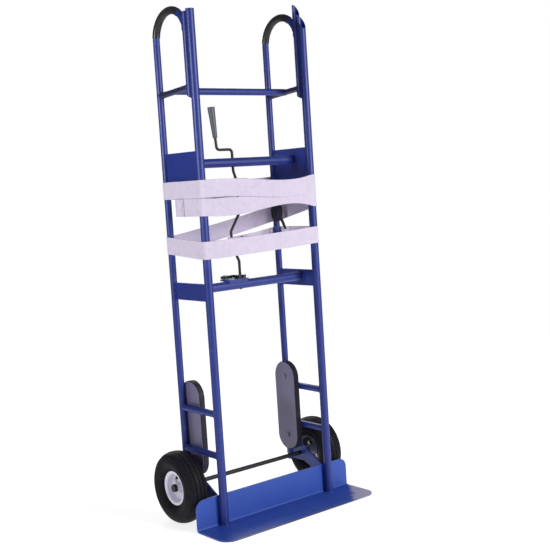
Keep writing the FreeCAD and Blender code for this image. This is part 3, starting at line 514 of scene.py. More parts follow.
tyre = moulded("tyre_rubber", tyre_tones, (0.55, 0.72), pebble=0.1, grime=0.06, bloom=0.15)
tyre_rubber = tyre.done(Specular_IOR_Level=0.18)
belt = moulded("belt_rubber", belt_tones, (0.55, 0.7), pebble=0.1, grime=0.12, bloom=0.2)
belt_rubber = belt.done(Specular_IOR_Level=0.35)
grip = moulded("vinyl", grip_tones, (0.32, 0.46), pebble=0.06, grime=0.12, bloom=0.15)
vinyl = grip.done(Coat_Weight=0.1, Coat_Roughness=0.3)
crank = moulded("grip_plastic", crank_tones, (0.36, 0.5), pebble=0.08, grime=0.1, bloom=0.2)
grip_plastic = crank.done()
roller = moulded("roller_plastic", roller_tones, (0.4, 0.55), pebble=0.08, grime=0.1, bloom=0.2)
roller_plastic = roller.done()

# %% [markdown]
# ## Floor finish
# The floor is only a stage: matt, with a trace of tone so that it isn't a dead flat sheet. It glows faintly,
# so the lamps' shadows stay pale, and it fades out with the distance, so no horizon cuts the picture.

# %% Finish the floor
FADE_FROM, FADE_TO = 1.6, 4.5
FLOOR_GLOW = 0.8

stage_floor = Finish("stage_floor", (rgb(176, 176, 178), rgb(184, 184, 186)), (0.8, 0.9))
span = stage_floor.tree.nodes.new("ShaderNodeVectorMath")
span.operation = "LENGTH"
join(stage_floor.tree, (stage_floor.place, span.inputs[0]))
fading = between(stage_floor.tree, span.outputs["Value"], FADE_TO, FADE_FROM)
join(stage_floor.tree, (fading, stage_floor.shader.inputs["Alpha"]))
floor_mesh.materials.append(
    stage_floor.done(Emission_Color=WHITE, Emission_Strength=FLOOR_GLOW, Specular_IOR_Level=0.1))

# %% [markdown]
# ## Finishes onto the frame
# The record of the part names a finish slot for every node. One table turns slots into materials, which
# is quicker to change than a line for each node. The nose plate, which scrapes the floor, and the inner
# rim halves, dark with painted shade, get their own versions.

# %% Assign the finishes
FINISHES = {"blue_paint": blue_paint, "dark_paint": dark_paint, "black_steel": black_steel, "zinc": zinc,
            "rim_paint": rim_paint, "tyre": tyre_rubber, "vinyl": vinyl, "grey_paint": grey_paint,
            "belt_rubber": belt_rubber, "roller_plastic": roller_plastic, "grip_plastic": grip_plastic}
OWN_FINISHES = {"nose_plate": toe_paint, "rim_inner_left": rim_back_painted_shade, "rim_inner_right": rim_back_painted_shade}

for subpart in frame["record"]["subparts"]:
    node = subpart["node"]
    finish = OWN_FINISHES.get(node, FINISHES.get(subpart["material_slot"]))
    if finish:
        for slot in nodes[node].material_slots:
            slot.link = "OBJECT"
            slot.material = finish
print("slots dressed:", sorted(FINISHES))

# %% [markdown]
# ## Helpers for new pieces
# Most of what follows is a grid of points that is closed one way or both: a tyre closes round its axle,
# a strap closes round its own section. One function turns such a grid into faces, and another makes
# the object, hangs it on an empty named for its body and gives it its finish.

# %% Grid faces
def grid_faces(rows, columns, close_rows=False):
    faces = []
    for i in range(rows if close_rows else rows - 1):
        for j in range(columns):
            below, above, beside = i * columns, (i + 1) % rows * columns, (j + 1) % columns
            faces.append((below + j, below + beside, above + beside, above + j))
    return faces


print("faces of a closed strip of 2 by 4 points:", len(grid_faces(2, 4)))

# %% New pieces
def piece(name, points, faces, body, finish, crease):
    mesh = bpy.data.meshes.new(name)
    mesh.from_pydata((np.asarray(points) * MM).tolist(), [], faces)
    mesh.update()
    mesh.shade_smooth()
    mesh.set_sharp_from_angle(angle=math.radians(crease))
    mesh.materials.append(finish)
    obj = bpy.data.objects.new(name, mesh)
    bpy.context.scene.collection.objects.link(obj)
    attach(obj, body)
    print("piece:", name, len(faces), "faces")
    return obj


# %% [markdown]
# ## The tyre's section
# An air-filled tyre bulges from its shoulder to the rim, with a few rings moulded on the side wall. Half
# of its section is drawn as points and later mirrored. Arcs through three known points were chosen over
# free curves, because the CAD tyre is drawn the same way.

# %% Arcs through three points
def through(a, b, c, shares):
    # points on the circle through a, b and c, at shares of the way from a to c, and their angles
    (ax, ay), (bx, by), (cx, cy) = a, b, c
    aa, bb, cc = ax**2 + ay**2, bx**2 + by**2, cx**2 + cy**2
    d = 2 * (ax * (by - cy) + bx * (cy - ay) + cx * (ay - by))
    ux = (aa * (by - cy) + bb * (cy - ay) + cc * (ay - by)) / d
    uy = (aa * (cx - bx) + bb * (ax - cx) + cc * (bx - ax)) / d
    first, middle, last = [math.atan2(y - uy, x - ux) for x, y in (a, b, c)]
    sweep = (last - first) % math.tau
    if (middle - first) % math.tau > sweep:
        sweep -= math.tau
    angles = first + sweep * np.asarray(shares)
    radius = math.hypot(ax - ux, ay - uy)
    return np.stack([ux + radius * np.cos(angles), uy + radius * np.sin(angles)], 1), angles


print("half way round a half circle:", through((1, 0), (0, 1), (-1, 0), (0.5,))[0].round(3))

# %% Side wall and lining
SHOULDER, WIDEST, BEAD = (33.5, 121.0), (42.5, 94.0), (24.4, 62.0)
BEAD_FOOT = [(24.4, 57.6), (18.8, 52.1), (16.5, 52.1), (20.4, 66.0)]
LINING = (34.5, 94.0), (25.5, 110.5), (0.0, 120.5)
WALL_FROM, WALL_POINTS, LINING_POINTS = 0.04, 21, 7
RINGS_AT = (0.16, 0.36, 0.84)
RING_FOOT, RING_TOP, RING_HEIGHT = 0.018, 0.010, 0.9

ring_shares = [r + d for r in RINGS_AT for d in (-RING_FOOT, -RING_TOP, RING_TOP, RING_FOOT)]
wall_shares = sorted([*np.linspace(WALL_FROM, 1.0, WALL_POINTS), *ring_shares])
wall, wall_angles = through(SHOULDER, WIDEST, BEAD, wall_shares)
for k, share in enumerate(wall_shares):
    if any(abs(share - r) < (RING_TOP + RING_FOOT) / 2 for r in RINGS_AT):
        wall[k] += RING_HEIGHT * np.array([np.cos(wall_angles[k]), np.sin(wall_angles[k])])
inside = np.vstack([BEAD_FOOT, through(*LINING, np.linspace(0, 1, LINING_POINTS))[0]])
print("side wall points:", len(wall), "inside:", len(inside))

# %% [markdown]
# ## Tread
# A hand truck tyre has a ribbed tread whose grooves zigzag, with small notches on the shoulders. Shifting
# the tread's points sideways by a triangle wave, row by row, makes the zigzag without extra faces. Cutting
# each groove as a solid would be slow and leave ragged meshes.

# %% Across the tread
EDGE_ROWS = (33.5, 31.5, 28.0, 24.0, 20.5)
GROOVES_AT = (-15.5, 0.0, 15.5)
GROOVE_TOP, GROOVE_FOOT, GROOVE_DEPTH = 1.6, 1.0, 5.0
RIB_ROWS = (5.0, 10.5)
ZIGZAG_FADES = (20.5, 31.5)


def tread_rows():
    # across the tread: offset, depth below the crown, share of the zigzag
    rows = [(-x, 0.0) for x in EDGE_ROWS]
    for x in GROOVES_AT:
        rows += [(x - GROOVE_TOP, 0.0), (x - GROOVE_FOOT, GROOVE_DEPTH),
                 (x + GROOVE_FOOT, GROOVE_DEPTH), (x + GROOVE_TOP, 0.0)]
        if x < GROOVES_AT[-1]:
            rows += [(x + rib, 0.0) for rib in RIB_ROWS]
    rows += [(x, 0.0) for x in reversed(EDGE_ROWS)]
    return [(x, depth, float(np.interp(abs(x), ZIGZAG_FADES, (1.0, 0.0)))) for x, depth in rows]


print("rows across the tread:", len(tread_rows()))

# %% Round the axle
CROWN_R = 131.0
ZIGZAGS = 60
ZIGZAG_WAVE = (0.0, 1.0, 0.0, -1.0)
ZIGZAG_REACH = 2.2
NOTCH_DEPTH, NOTCH_FROM = 2.6, 27.0


def tyre_points():
    steps = len(ZIGZAG_WAVE) * ZIGZAGS
    rows = []
    for k in range(steps):
        phase = k % len(ZIGZAG_WAVE)
        tread = []
        for x, depth, share in tread_rows():
            drop = (CROWN_R - SHOULDER[1]) * (x / SHOULDER[0]) ** 2
            notch = NOTCH_DEPTH if phase == 0 and abs(x) > NOTCH_FROM else 0.0
            tread.append((x + ZIGZAG_WAVE[phase] * ZIGZAG_REACH * share, CROWN_R - drop - depth - notch))
        ring = np.vstack([tread, wall, inside, inside[::-1][1:] * (-1, 1), wall[::-1] * (-1, 1)])
        a = math.tau * k / steps
        rows.append(np.stack([ring[:, 0], ring[:, 1] * math.cos(a), ring[:, 1] * math.sin(a)], 1))
    return np.array(rows)


tyre_grid = tyre_points()
print("tyre grid:", tyre_grid.shape)

# %% Put the tyres on the wheels
WHEEL_CENTRE = (324.0, 159.0, 131.0)

for mirror, side in ((-1, "left"), (1, "right")):
    points = (tyre_grid.reshape(-1, 3) + WHEEL_CENTRE) * (mirror, 1, 1)
    faces = grid_faces(*tyre_grid.shape[:2], close_rows=True)
    if mirror > 0:
        faces = [face[::-1] for face in faces]
    tyre_skin = piece("tyre_skin_" + side, points, faces, "wheel_" + side, tyre_rubber, crease=30.0)
    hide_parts("tyre_" + side)

# %% [markdown]
# ## Webbing
# The straps are woven polyester webbing: ribs run along the strap, and the weft crosses them in fine
# picks. The strap meshes carry two attributes, the distance along and across the strap, and a node
# group turns these into the height of a plain weave. That way the weave follows every bend.

# %% The weave group
RIB, PICK = 3.1, 1.7
STAGGER = 0.5
CREST = 0.45
GAP_LIMITS = (0.45, 0.0)


def humps(tree, turns):
    # one round hump for each whole turn
    return maths(tree, "ABSOLUTE", maths(tree, "SINE", maths(tree, "MULTIPLY", turns, math.pi)))


weave, given, out = node_group(
    "strap_weave", {"Across": 0.0, "Along": 0.0, "Rib": RIB, "Pick": PICK}, ["Height", "Gap"])
ribs = maths(weave, "DIVIDE", given.outputs["Across"], given.outputs["Rib"])
picks = maths(weave, "DIVIDE", given.outputs["Along"], given.outputs["Pick"])
shifted = maths(weave, "ADD", picks, maths(weave, "MULTIPLY", maths(weave, "FLOOR", ribs), STAGGER))
rounded = humps(weave, ribs)
crossed = maths(weave, "ADD", maths(weave, "MULTIPLY", humps(weave, shifted), CREST), 1.0 - CREST)
join(weave, (maths(weave, "MULTIPLY", rounded, crossed), out.inputs["Height"]),
     (between(weave, rounded, *GAP_LIMITS), out.inputs["Gap"]))
print("ribs every", RIB, "mm, picks every", PICK, "mm")

# %% Webbing and thread finishes
WEAVE_HEIGHT = 0.5 * MM
GAP_SHADE = 0.45
HANDLED_SCALE, HANDLED_LIMITS, HANDLED_SHARE = 52.0, (0.45, 0.75), 0.3
CLOTH_ROUGHNESS = 0.9

web = Finish("woven_webbing", (rgb(206, 196, 218), rgb(220, 210, 230)), (0.72, 0.86))
threads = web.use(weave)
for label in ("Across", "Along"):
    reader = web.tree.nodes.new("ShaderNodeAttribute")
    reader.attribute_name = label.lower()
    join(web.tree, (reader.outputs["Fac"], threads.inputs[label]))
web.raise_by(threads.outputs["Height"], WEAVE_HEIGHT)
shade = maths(web.tree, "MULTIPLY", threads.outputs["Gap"], GAP_SHADE)
web.lay(shade, rgb(168, 158, 184), CLOTH_ROUGHNESS)
handled = between(web.tree, web.use(skin, Tone_Scale=HANDLED_SCALE).outputs["Tone"], *HANDLED_LIMITS)
web.lay(maths(web.tree, "MULTIPLY", handled, HANDLED_SHARE), rgb(178, 168, 188), CLOTH_ROUGHNESS)
web.wear(dust, rgb(176, 168, 176), CLOTH_ROUGHNESS, Amount=0.25)
webbing = web.done(Sheen_Weight=0.15)

sewing = Finish("sewing_thread", (rgb(150, 138, 166), rgb(172, 160, 186)), (0.6, 0.75))
sewing.raise_by(sewing.skin.outputs["Pebble"], 0.1 * MM)
thread = sewing.done()

# %% [markdown]
# ## Strap routes
# Seen from above, each strap starts as a sewn eye round the crank rod and then runs round the four
# uprights, always with the posts on its right. Runs are straight lines between tangent points and
# turns are arcs. Cloth could be simulated instead, but taut webbing lies where geometry puts it.

# %% Lines and turns
WEB_W, WEB_T = 62.0, 2.5
RUN_STEP, TURN_STEP = 7.0, 2.2


def unit(angle):
    return np.array([math.cos(angle), math.sin(angle)])


def line(a, b):
    count = max(2, math.ceil(np.linalg.norm(b - a) / RUN_STEP))
    return a + np.linspace(0, 1, count + 1)[:, None] * (b - a)


def lead_out(a, b):
    # the angle at which the strap leaves post a for post b, on the left of its way
    run = np.subtract(b[0], a[0])
    return math.atan2(run[1], run[0]) + math.acos((a[1] - b[1]) / np.linalg.norm(run))


def turn(post, first, last):
    centre, radius = np.array(post[0]), post[1] + WEB_T / 2
    sweep = (first - last) % math.tau
    count = max(2, math.ceil(sweep * radius / TURN_STEP))
    return centre + radius * np.array([unit(first - sweep * t) for t in np.linspace(0, 1, count + 1)])


quarter = turn(((0.0, 0.0), 15.0), math.pi / 2, 0.0)
print("points on a quarter turn:", len(quarter))

# %% [markdown]
# ## The sewn eye
# Each strap is fixed to the crank rod by an eye: its end goes round the rod and is sewn back onto
# itself. The tail lies one layer further in than the strap it is sewn to, and a smooth bend leads from
# it into the eye, since thick webbing can't fold sharply.

# %% The eye's tail
LAYER = 2.6
EYE_LEN, EYE_LAP, EYE_BEND = 84.0, 34.0, 16.0
BEND_POINTS = 9


def eye_entry(post, lead):
    # the lapped tail of the sewn eye, and the angle where it meets the eye's turn
    centre, radius = np.array(post[0]), post[1] + WEB_T / 2
    ahead = unit(lead - math.pi / 2)
    seam = centre + unit(lead) * (radius - LAYER) + ahead * EYE_LEN
    away = seam - centre
    base = math.atan2(away[1], away[0])
    side = 1 if math.sin(lead - base) > 0 else -1
    entry = base - side * math.acos(radius / np.linalg.norm(away))
    touch = centre + radius * unit(entry)
    inward = (touch - seam) / np.linalg.norm(touch - seam)
    a, b = seam + ahead * EYE_BEND, seam + inward * EYE_BEND
    t = np.linspace(0, 1, BEND_POINTS)[:, None]
    bend = (1 - t) ** 2 * a + 2 * t * (1 - t) * seam + t**2 * b
    return np.vstack([line(a + ahead * EYE_LAP, a), bend[1:-1], line(b, touch)[:-1]]), entry


print("eye length:", EYE_LEN, "mm, lap:", EYE_LAP, "mm")

# %% [markdown]
# ## All the way round
# A route is a list of stops, each a post and the height of the strap's lower edge there. Between two
# stops the strap may sag or rise and bow outwards, as slack webbing does. A curve drawn by a few evenly
# spaced lifts is enough for that and stays smooth.

# %% Walk round the posts
def eased(t, lifts):
    n = len(lifts) - 1
    return sum(math.comb(n, i) * t**i * (1 - t) ** (n - i) * lift for i, lift in enumerate(lifts))


def strap_route(stops, slack):
    # slack is (lifts, bow) for each run; the route's rows are x, y, lower edge and bow
    leads = [lead_out(a[0], b[0]) for a, b in zip(stops, stops[1:])]
    tail, entry = eye_entry(stops[0][0], leads[0])
    rows = [(x, y, stops[0][1], 0.0) for x, y in tail]
    arrivals = [entry] + leads
    for k, (post, low) in enumerate(stops[:-1]):
        here = turn(post, arrivals[k], leads[k])
        rows += [(x, y, low, 0.0) for x, y in here]
        after, low_after = stops[k + 1]
        run = line(here[-1], np.array(after[0]) + (after[1] + WEB_T / 2) * unit(leads[k]))
        lifts, bow = slack[k]
        last = None if k == len(stops) - 2 else -1
        for t, (x, y) in list(zip(np.linspace(0, 1, len(run)), run))[1:last]:
            rows.append((x, y, low + t * (low_after - low) + eased(t, lifts), 4 * bow * t * (1 - t)))
    return np.array(rows)


print("half way, lifts of 0, 8 and 0 mm give", eased(0.5, (0, 8, 0)), "mm")

# %% The folded hem
def folded_hem(route, length):
    # the strap's end turned back on its outer side
    end, ahead = route[-1, :2], route[-1, :2] - route[-2, :2]
    ahead /= np.linalg.norm(ahead)
    out_way = np.array([-ahead[1], ahead[0]])
    fold = [end + (ahead * math.sin(a) + out_way * (1 - math.cos(a))) * LAYER / 2
            for a in np.linspace(0, math.pi, BEND_POINTS)[1:]]
    back = line(fold[-1], fold[-1] - ahead * length)[1:]
    return np.vstack([route, [(x, y, route[-1, 2], 0.0) for x, y in [*fold, *back]]])


print("a fold is", LAYER, "mm thick")

# %% [markdown]
# ## The two routes
# The upper strap makes one turn and ends on the right side, over its own start. The lower one makes a low
# turn, climbs behind, makes a second turn at mid height and ends on the left in a hem. Posts and heights
# are those of the CAD straps, so both agree.

# %% Posts and heights
REAR_LEFT, REAR_RIGHT = ((-250.0, 218.0), 12.55), ((250.0, 218.0), 12.55)
FRONT_LEFT, FRONT_RIGHT = ((-250.0, 0.0), 15.05), ((250.0, 0.0), 15.05)
SECOND_LAYER, UPPER_END = ((250.0, 218.0), 15.65), ((250.0, 158.0), 16.35)
EYE_TOP, EYE_LOW = ((-45.0, 87.0), 20.8), ((-45.0, 87.0), 34.8)
HEM_POST, HEM_LEN = ((-250.0, 141.0), 15.05), 50.0
TOP, MIDDLE, SINK, LOW, LOWEST = 1165.0, 1102.5, 1053.0, 968.0, 952.0
TAUT = ((0, 0), 0)
print("strap heights:", LOWEST, "to", TOP + WEB_W, "mm")

# %% Lead the straps
upper_stops = [(post, TOP) for post in
               (EYE_TOP, REAR_RIGHT, FRONT_RIGHT, FRONT_LEFT, REAR_LEFT, SECOND_LAYER, UPPER_END)]
upper_slack = [((0, -8, 0), 0), TAUT, ((0, -36, -6, 4, 0), 6), TAUT, ((0, -16, 0), 2), TAUT]
lower_stops = [(EYE_LOW, LOWEST), (REAR_RIGHT, LOW), (FRONT_RIGHT, LOW), (FRONT_LEFT, LOWEST),
               (REAR_LEFT, LOW), (REAR_RIGHT, SINK), (FRONT_RIGHT, MIDDLE), (FRONT_LEFT, MIDDLE),
               (HEM_POST, MIDDLE)]
lower_slack = [((0, -8, 0), 0), TAUT, ((0, -5, 0), 1), TAUT, ((0, -10, 0), 2), TAUT,
               ((0, 50, 0, -17, 0), 0), TAUT]

upper_route = strap_route(upper_stops, upper_slack)
lower_route = folded_hem(strap_route(lower_stops, lower_slack), HEM_LEN)
print("route points:", len(upper_route), len(lower_route))

# %% [markdown]
# ## Weaving the straps into meshes
# A strap's section is a flat lens with thicker rolled edges, the selvedges. It is carried along the route
# with its width upright. A slow wave along the strap and a slight cup across it keep it from looking
# like sheet metal.

# %% Measures along a strap
SMOOTH_STEP, SMOOTH_COUNT = 2.0, 14


def smoothed(values, along):
    # a running mean over evenly spaced samples
    even = np.arange(0, along[-1], SMOOTH_STEP)
    padded = np.pad(np.interp(even, along, values), SMOOTH_COUNT, mode="edge")
    share = np.ones(2 * SMOOTH_COUNT + 1) / (2 * SMOOTH_COUNT + 1)
    return np.interp(along, even, np.convolve(padded, share, "valid"))


def strap_measures(route):
    # the distance along the strap, its lower edge and its outward direction, for every row of the route
    steps = np.linalg.norm(np.diff(route[:, :2], axis=0), axis=1)
    along = np.concatenate([[0], np.cumsum(steps)])
    heading = np.gradient(route[:, :2], along, axis=0)
    heading /= np.linalg.norm(heading, axis=1)[:, None]
    return along, smoothed(route[:, 2], along), np.stack([-heading[:, 1], heading[:, 0]], 1)


upper_way = (upper_route, *strap_measures(upper_route))
lower_way = (lower_route, *strap_measures(lower_route))
upper_len, lower_len = [way[1][-1] for way in (upper_way, lower_way)]
print("strap lengths:", round(upper_len), round(lower_len), "mm")

# %% Section and surface
HALF_W = WEB_W / 2
HALF_SECTION = [(-31.0, 0.30), (-30.5, 0.85), (-29.4, 1.18), (-27.8, 1.12), (-26.6, 0.95), (-21.0, 1.0),
                (-15.0, 1.0), (-9.0, 1.0), (-3.0, 1.0)]
FACE_SIDE = HALF_SECTION + [(-v, h) for v, h in reversed(HALF_SECTION)]
SECTION = FACE_SIDE + [(v, -h) for v, h in reversed(FACE_SIDE)]
CUP, WAVE, WAVE_LENGTH = 0.5, 0.7, 47.0
FULL_BOW = 3.0


def strap_points(route, along, low, out_way):
    points = []
    for k, (x, y, _, bow) in enumerate(route):
        free = min(1.0, bow / FULL_BOW)
        for v, h in SECTION:
            share = v / HALF_W
            cup = free * (CUP * share**2 + WAVE * share * math.sin(along[k] / WAVE_LENGTH))
            off = out_way[k] * (h + bow + cup)
            points.append((x + off[0], y + off[1], low[k] + HALF_W + v))
    return points


print("points round a strap:", len(SECTION))

# %% Strap meshes
def strap_mesh(name, route, along, low, out_way):
    n = len(SECTION)
    faces = grid_faces(len(route), n)
    for base in (0, (len(route) - 1) * n):
        cap = [(base + j, base + n - 1 - j, base + n - 2 - j, base + j + 1) for j in range(n // 2 - 1)]
        faces += [quad if base == 0 else quad[::-1] for quad in cap]
    points = strap_points(route, along, low, out_way)
    obj = piece(name, points, faces, "frame", webbing, crease=60.0)
    across = np.tile([v for v, h in SECTION], len(route))
    for label, values in (("across", across), ("along", np.repeat(along, n))):
        attribute = obj.data.attributes.new(label, "FLOAT", "POINT")
        attribute.data.foreach_set("value", values.astype(np.float32))
    return obj


upper_strap = strap_mesh("web_strap_upper", *upper_way)
lower_strap = strap_mesh("web_strap_lower", *lower_way)
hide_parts("strap_upper")
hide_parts("strap_lower")

# %% [markdown]
# ## Stitching
# The hem and the two eyes are closed by rows of stitches. Each stitch is a short thread, a thin tube that
# dips into the web at both ends. They are real geometry, because a row of them shows at this size.

# %% One stitch
STITCH = 4.6
STITCH_REACH = 0.42 * STITCH
THREAD_R, THREAD_SIDES = 0.55, 6
STITCH_RINGS = ((-1.0, -0.7, 0.35), (-0.8, 0.0, 0.9), (0.0, 0.25, 1.0), (0.8, 0.0, 0.9), (1.0, -0.7, 0.35))


def stitch(centre, out_way):
    # rings of points up the stitch: place, height over the web, share of the thread's radius
    points = []
    for place, lift, swell in STITCH_RINGS:
        for a in np.arange(THREAD_SIDES) * math.tau / THREAD_SIDES:
            sideways = THREAD_R * swell * math.cos(a)
            lifted = lift + THREAD_R * swell * math.sin(a)
            points.append((centre[0] + out_way[0] * lifted - out_way[1] * sideways,
                           centre[1] + out_way[1] * lifted + out_way[0] * sideways,
                           centre[2] + place * STITCH_REACH))
    return points


stitch_faces = [quad[::-1] for quad in grid_faces(len(STITCH_RINGS), THREAD_SIDES)]
last_ring = (len(STITCH_RINGS) - 1) * THREAD_SIDES
stitch_faces += [tuple(range(THREAD_SIDES)), tuple(last_ring + i for i in reversed(range(THREAD_SIDES)))]
print("faces of a stitch:", len(stitch_faces))

# %% Rows of stitches
SEAM_HALF = 26.0
FACE = 1.05
EYE_SEAM = ((6.0, 12.0, EYE_LAP), (FACE, -FACE - LAYER))
HEM_ROWS = (46.0, 12.0, 6.0)
hem_seam = ([lower_len - back for back in HEM_ROWS], (-FACE, FACE + LAYER))


def stitch_rows(name, seams, route, along, low, out_way):
    # seams are (places along the strap, how far the strap's two faces lie from its middle)
    points, faces = [], []
    for place, side in [(place, side) for places, sides in seams for place in places for side in sides]:
        k = int(np.argmin(abs(along - place)))
        x, y = route[k, :2] + out_way[k] * side
        for v in np.arange(-SEAM_HALF, SEAM_HALF + THREAD_R, STITCH):
            base = len(points)
            points += stitch((x, y, low[k] + HALF_W + v), out_way[k] * np.sign(side))
            faces += [tuple(base + i for i in face) for face in stitch_faces]
    return piece(name, points, faces, "frame", thread, crease=60.0)


lower_sewing = stitch_rows("sewing_lower", [EYE_SEAM, hem_seam], *lower_way)
upper_sewing = stitch_rows("sewing_upper", [EYE_SEAM], *upper_way)

for strap, length, stitches in ((upper_strap, upper_len, upper_sewing),
                                (lower_strap, lower_len, lower_sewing)):
    print("sheet:", strap.name, round(length), "mm long")

# %% [markdown]
# ## Weld beads
# The tubes and plates are welded, then painted. A bead is a thin rippled rope of metal in the corner
# between two pieces, so it is swept along the line where they meet. A bump in the paint would be
# cheaper, but it has no outline.

# %% Even steps along a line
BEAD_STEP, BEAD_FEWEST = 1.1, 6


def even_steps(points, closed):
    # points at even distances on a line, those distances and the whole length
    points = np.asarray(points, float)
    if closed:
        points = np.vstack([points, points[:1]])
    reach = np.concatenate([[0], np.cumsum(np.linalg.norm(np.diff(points, axis=0), axis=1))])
    at = np.linspace(0, reach[-1], max(BEAD_FEWEST, round(reach[-1] / BEAD_STEP)) + 1)
    if closed:
        at = at[:-1]
    return np.stack([np.interp(at, reach, points[:, k]) for k in range(3)], 1), at, reach[-1]


print("points on 10 mm of weld:", len(even_steps([(0, 0, 0), (0, 0, 10)], False)[1]))

# %% Sweep one bead
RIPPLE_LENGTH, RIPPLE_SHARE = 2.8, 0.13
BEAD_SIDES = 8
TAPER, TAPER_LEAST = 3.0, 0.03
PROP = (0.36, 0.48, 0.80)


def bead(points, radius, closed):
    # no weld runs along PROP, so it can turn the rings across the line
    middle, at, length = even_steps(points, closed)
    ahead = np.roll(middle, -1, 0) - np.roll(middle, 1, 0) if closed else np.gradient(middle, axis=0)
    ahead /= np.linalg.norm(ahead, axis=1)[:, None]
    first = np.cross(ahead, PROP)
    first /= np.linalg.norm(first, axis=1)[:, None]
    second = np.cross(ahead, first)
    size = radius * (1 + RIPPLE_SHARE * np.cos(math.tau * at / RIPPLE_LENGTH))
    if not closed:
        size *= np.sqrt(np.clip(np.minimum(at, length - at) / TAPER, TAPER_LEAST, 1.0))
    rings = [middle + (np.cos(a) * first + np.sin(a) * second) * size[:, None]
             for a in np.arange(BEAD_SIDES) * math.tau / BEAD_SIDES]
    faces = grid_faces(len(middle), BEAD_SIDES, close_rows=closed)
    if not closed:
        last = (len(middle) - 1) * BEAD_SIDES
        faces += [tuple(reversed(range(BEAD_SIDES))), tuple(last + i for i in range(BEAD_SIDES))]
    return np.stack(rings, 1).reshape(-1, 3), faces


print("sides of a bead:", BEAD_SIDES)

# %% [markdown]
# ## Where tubes meet
# A bar that ends on a tube meets it in a saddle curve, worked out from the two radii. The handle loop
# ends on its leg in a similar curve, and the top bar stands on the slanted braces. All of this is done
# for the right side, since the left side is its mirror image.

# %% Saddles round the bars
SIDE_X, REAR_Y, LEG_Y = 250.0, 218.0, 28.55
RAIL_R, REAR_R, LEG_R, RUNG_R, BRACE_R = 15.0, 12.5, 13.5, 12.5, 11.0
PROUD = 0.2
SADDLE_POINTS = 48
RUNGS_Z = (403.0, 252.0)
BRACE_REAR_Z, BRACE_LEG_Z = 1535.9, 1548.0
RUNG_WELD, BRACE_WELD = 2.6, 2.4
beads = []


def saddle(y, post_r, z, bar_r, way):
    # where a bar along Y meets an upright post
    a = np.arange(SADDLE_POINTS) * math.tau / SADDLE_POINTS
    dx = bar_r * np.cos(a)
    reach = np.sqrt(np.maximum((post_r + PROUD) ** 2 - dx**2, 0))
    return np.stack([SIDE_X + dx, y + way * reach, z + bar_r * np.sin(a)], 1)


for z in RUNGS_Z:
    beads.append((saddle(0.0, RAIL_R, z, RUNG_R, 1), RUNG_WELD, True))
    beads.append((saddle(REAR_Y, REAR_R, z, RUNG_R, -1), RUNG_WELD, True))
beads.append((saddle(REAR_Y, REAR_R, BRACE_REAR_Z, BRACE_R, -1), BRACE_WELD, True))
beads.append((saddle(LEG_Y, LEG_R, BRACE_LEG_Z, BRACE_R, 1), BRACE_WELD, True))
print("saddles:", len(beads))

# %% Rings round the loop, the bars and the rail's foot
LOOP_Y, LOOP_Z, LOOP_R, LOOP_WELD = 123.275, 1726.775, 94.725, 2.2
BARS_Z, BAR_Y, BAR_RING, BAR_INSET, BAR_WELD = (1285.0, 840.0), 87.0, 16.8, 2.4, 3.0
FOOT_RING, FOOT_Z, FOOT_WELD = 15.4, 5.6, 2.8
RING_POINTS = 60

ring = np.arange(RING_POINTS) * math.tau / RING_POINTS
flat = np.zeros(RING_POINTS)
dx, bulge = REAR_R * np.cos(ring), LOOP_R + REAR_R * np.sin(ring)
y = LEG_Y + np.sqrt(LEG_R**2 - dx**2)
loop_end = np.stack([SIDE_X + dx, y, LOOP_Z + np.sqrt(bulge**2 - (LOOP_Y - y) ** 2)], 1)
beads.append((loop_end, LOOP_WELD, True))
for z in BARS_Z:
    round_bar = (flat + SIDE_X - BAR_INSET, BAR_Y + BAR_RING * np.cos(ring), z + BAR_RING * np.sin(ring))
    beads.append((np.stack(round_bar, 1), BAR_WELD, True))
foot = (SIDE_X + FOOT_RING * np.cos(ring), FOOT_RING * np.sin(ring), flat + FOOT_Z)
beads.append((np.stack(foot, 1), FOOT_WELD, True))
print("closed beads:", len(beads))

# %% Arcs where the top bar stands on the braces
TOP_BAR_Y, TOP_BAR_Z, TOP_BAR_R = 118.0, 1542.35, 12.5
BRACE_LOW, BRACE_RISE, BRACE_FACE = 1535.0, 14.0, 11.1
ARC_HALF, ARC_POINTS = 1.0, 17

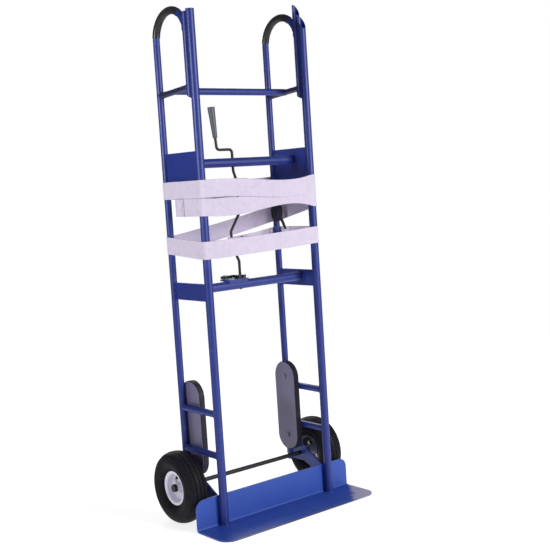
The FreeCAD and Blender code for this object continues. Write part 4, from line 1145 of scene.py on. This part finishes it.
around = np.linspace(-ARC_HALF, ARC_HALF, ARC_POINTS)
for way in (0.0, math.pi):
    y = TOP_BAR_Y + TOP_BAR_R * np.cos(way + around)
    z = TOP_BAR_Z + TOP_BAR_R * np.sin(way + around)
    off = z - (BRACE_LOW + BRACE_RISE * (REAR_Y - y) / (REAR_Y - LEG_Y))
    beads.append((np.stack([SIDE_X - np.sqrt(BRACE_FACE**2 - off**2), y, z], 1), BRACE_WELD, False))
print("beads so far:", len(beads))

# %% [markdown]
# ## Where plates meet tubes
# Plates are held by short upright stitches of weld on both faces, which warps them less than a full seam.
# The panels have one near each corner. The kick plate, the loop's leg and the axle bracket have theirs
# where they touch the tubes, so one table of places serves them all.

# %% Upright seams
PANELS = ((1205.0, 1328.0), (803.0, 865.0))
PANEL_FACE, PANEL_EDGES, PANEL_WELD = 2.6, (15.4, 205.2), 2.3
SEAM_INSET, SEAM_END = 2.0, 26.0
PLATE_SEAMS = [  # sideways from the tube's middle, y, lower end, upper end, radius
    (7.2, 13.7, 14.0, 108.0, 2.8),
    (5.6, 15.1, 1516.0, 1548.0, 2.6), (5.6, 15.1, 1690.0, 1722.0, 2.6), (5.6, 15.1, 1760.0, 1792.0, 2.6),
    (3.4, 20.6, 26.0, 88.0, 2.2),
    (3.4, 206.0, 112.0, 200.0, 2.4), (3.4, 230.0, 112.0, 200.0, 2.4)]

panel_seams = []
for low, high in PANELS:
    for y in PANEL_EDGES:
        panel_seams.append((PANEL_FACE, y, low + SEAM_INSET, low + SEAM_END, PANEL_WELD))
        panel_seams.append((PANEL_FACE, y, high - SEAM_END, high - SEAM_INSET, PANEL_WELD))
for sideways, y, low, high, radius in PLATE_SEAMS + panel_seams:
    for x in (SIDE_X - sideways, SIDE_X + sideways):
        beads.append(([(x, y, low), (x, y, high)], radius, False))
print("beads on one side:", len(beads))

# %% Mirror and join the beads
points, faces = [], []
for mirror in (1, -1):
    for way, radius, closed in beads:
        rings, quads = bead(way, radius, closed)
        base = len(points)
        points += (rings * (mirror, 1, 1)).tolist()
        faces += [tuple(base + i for i in (quad if mirror > 0 else quad[::-1])) for quad in quads]
piece("weld_beads", points, faces, "frame", blue_paint, crease=80.0)

# %% [markdown]
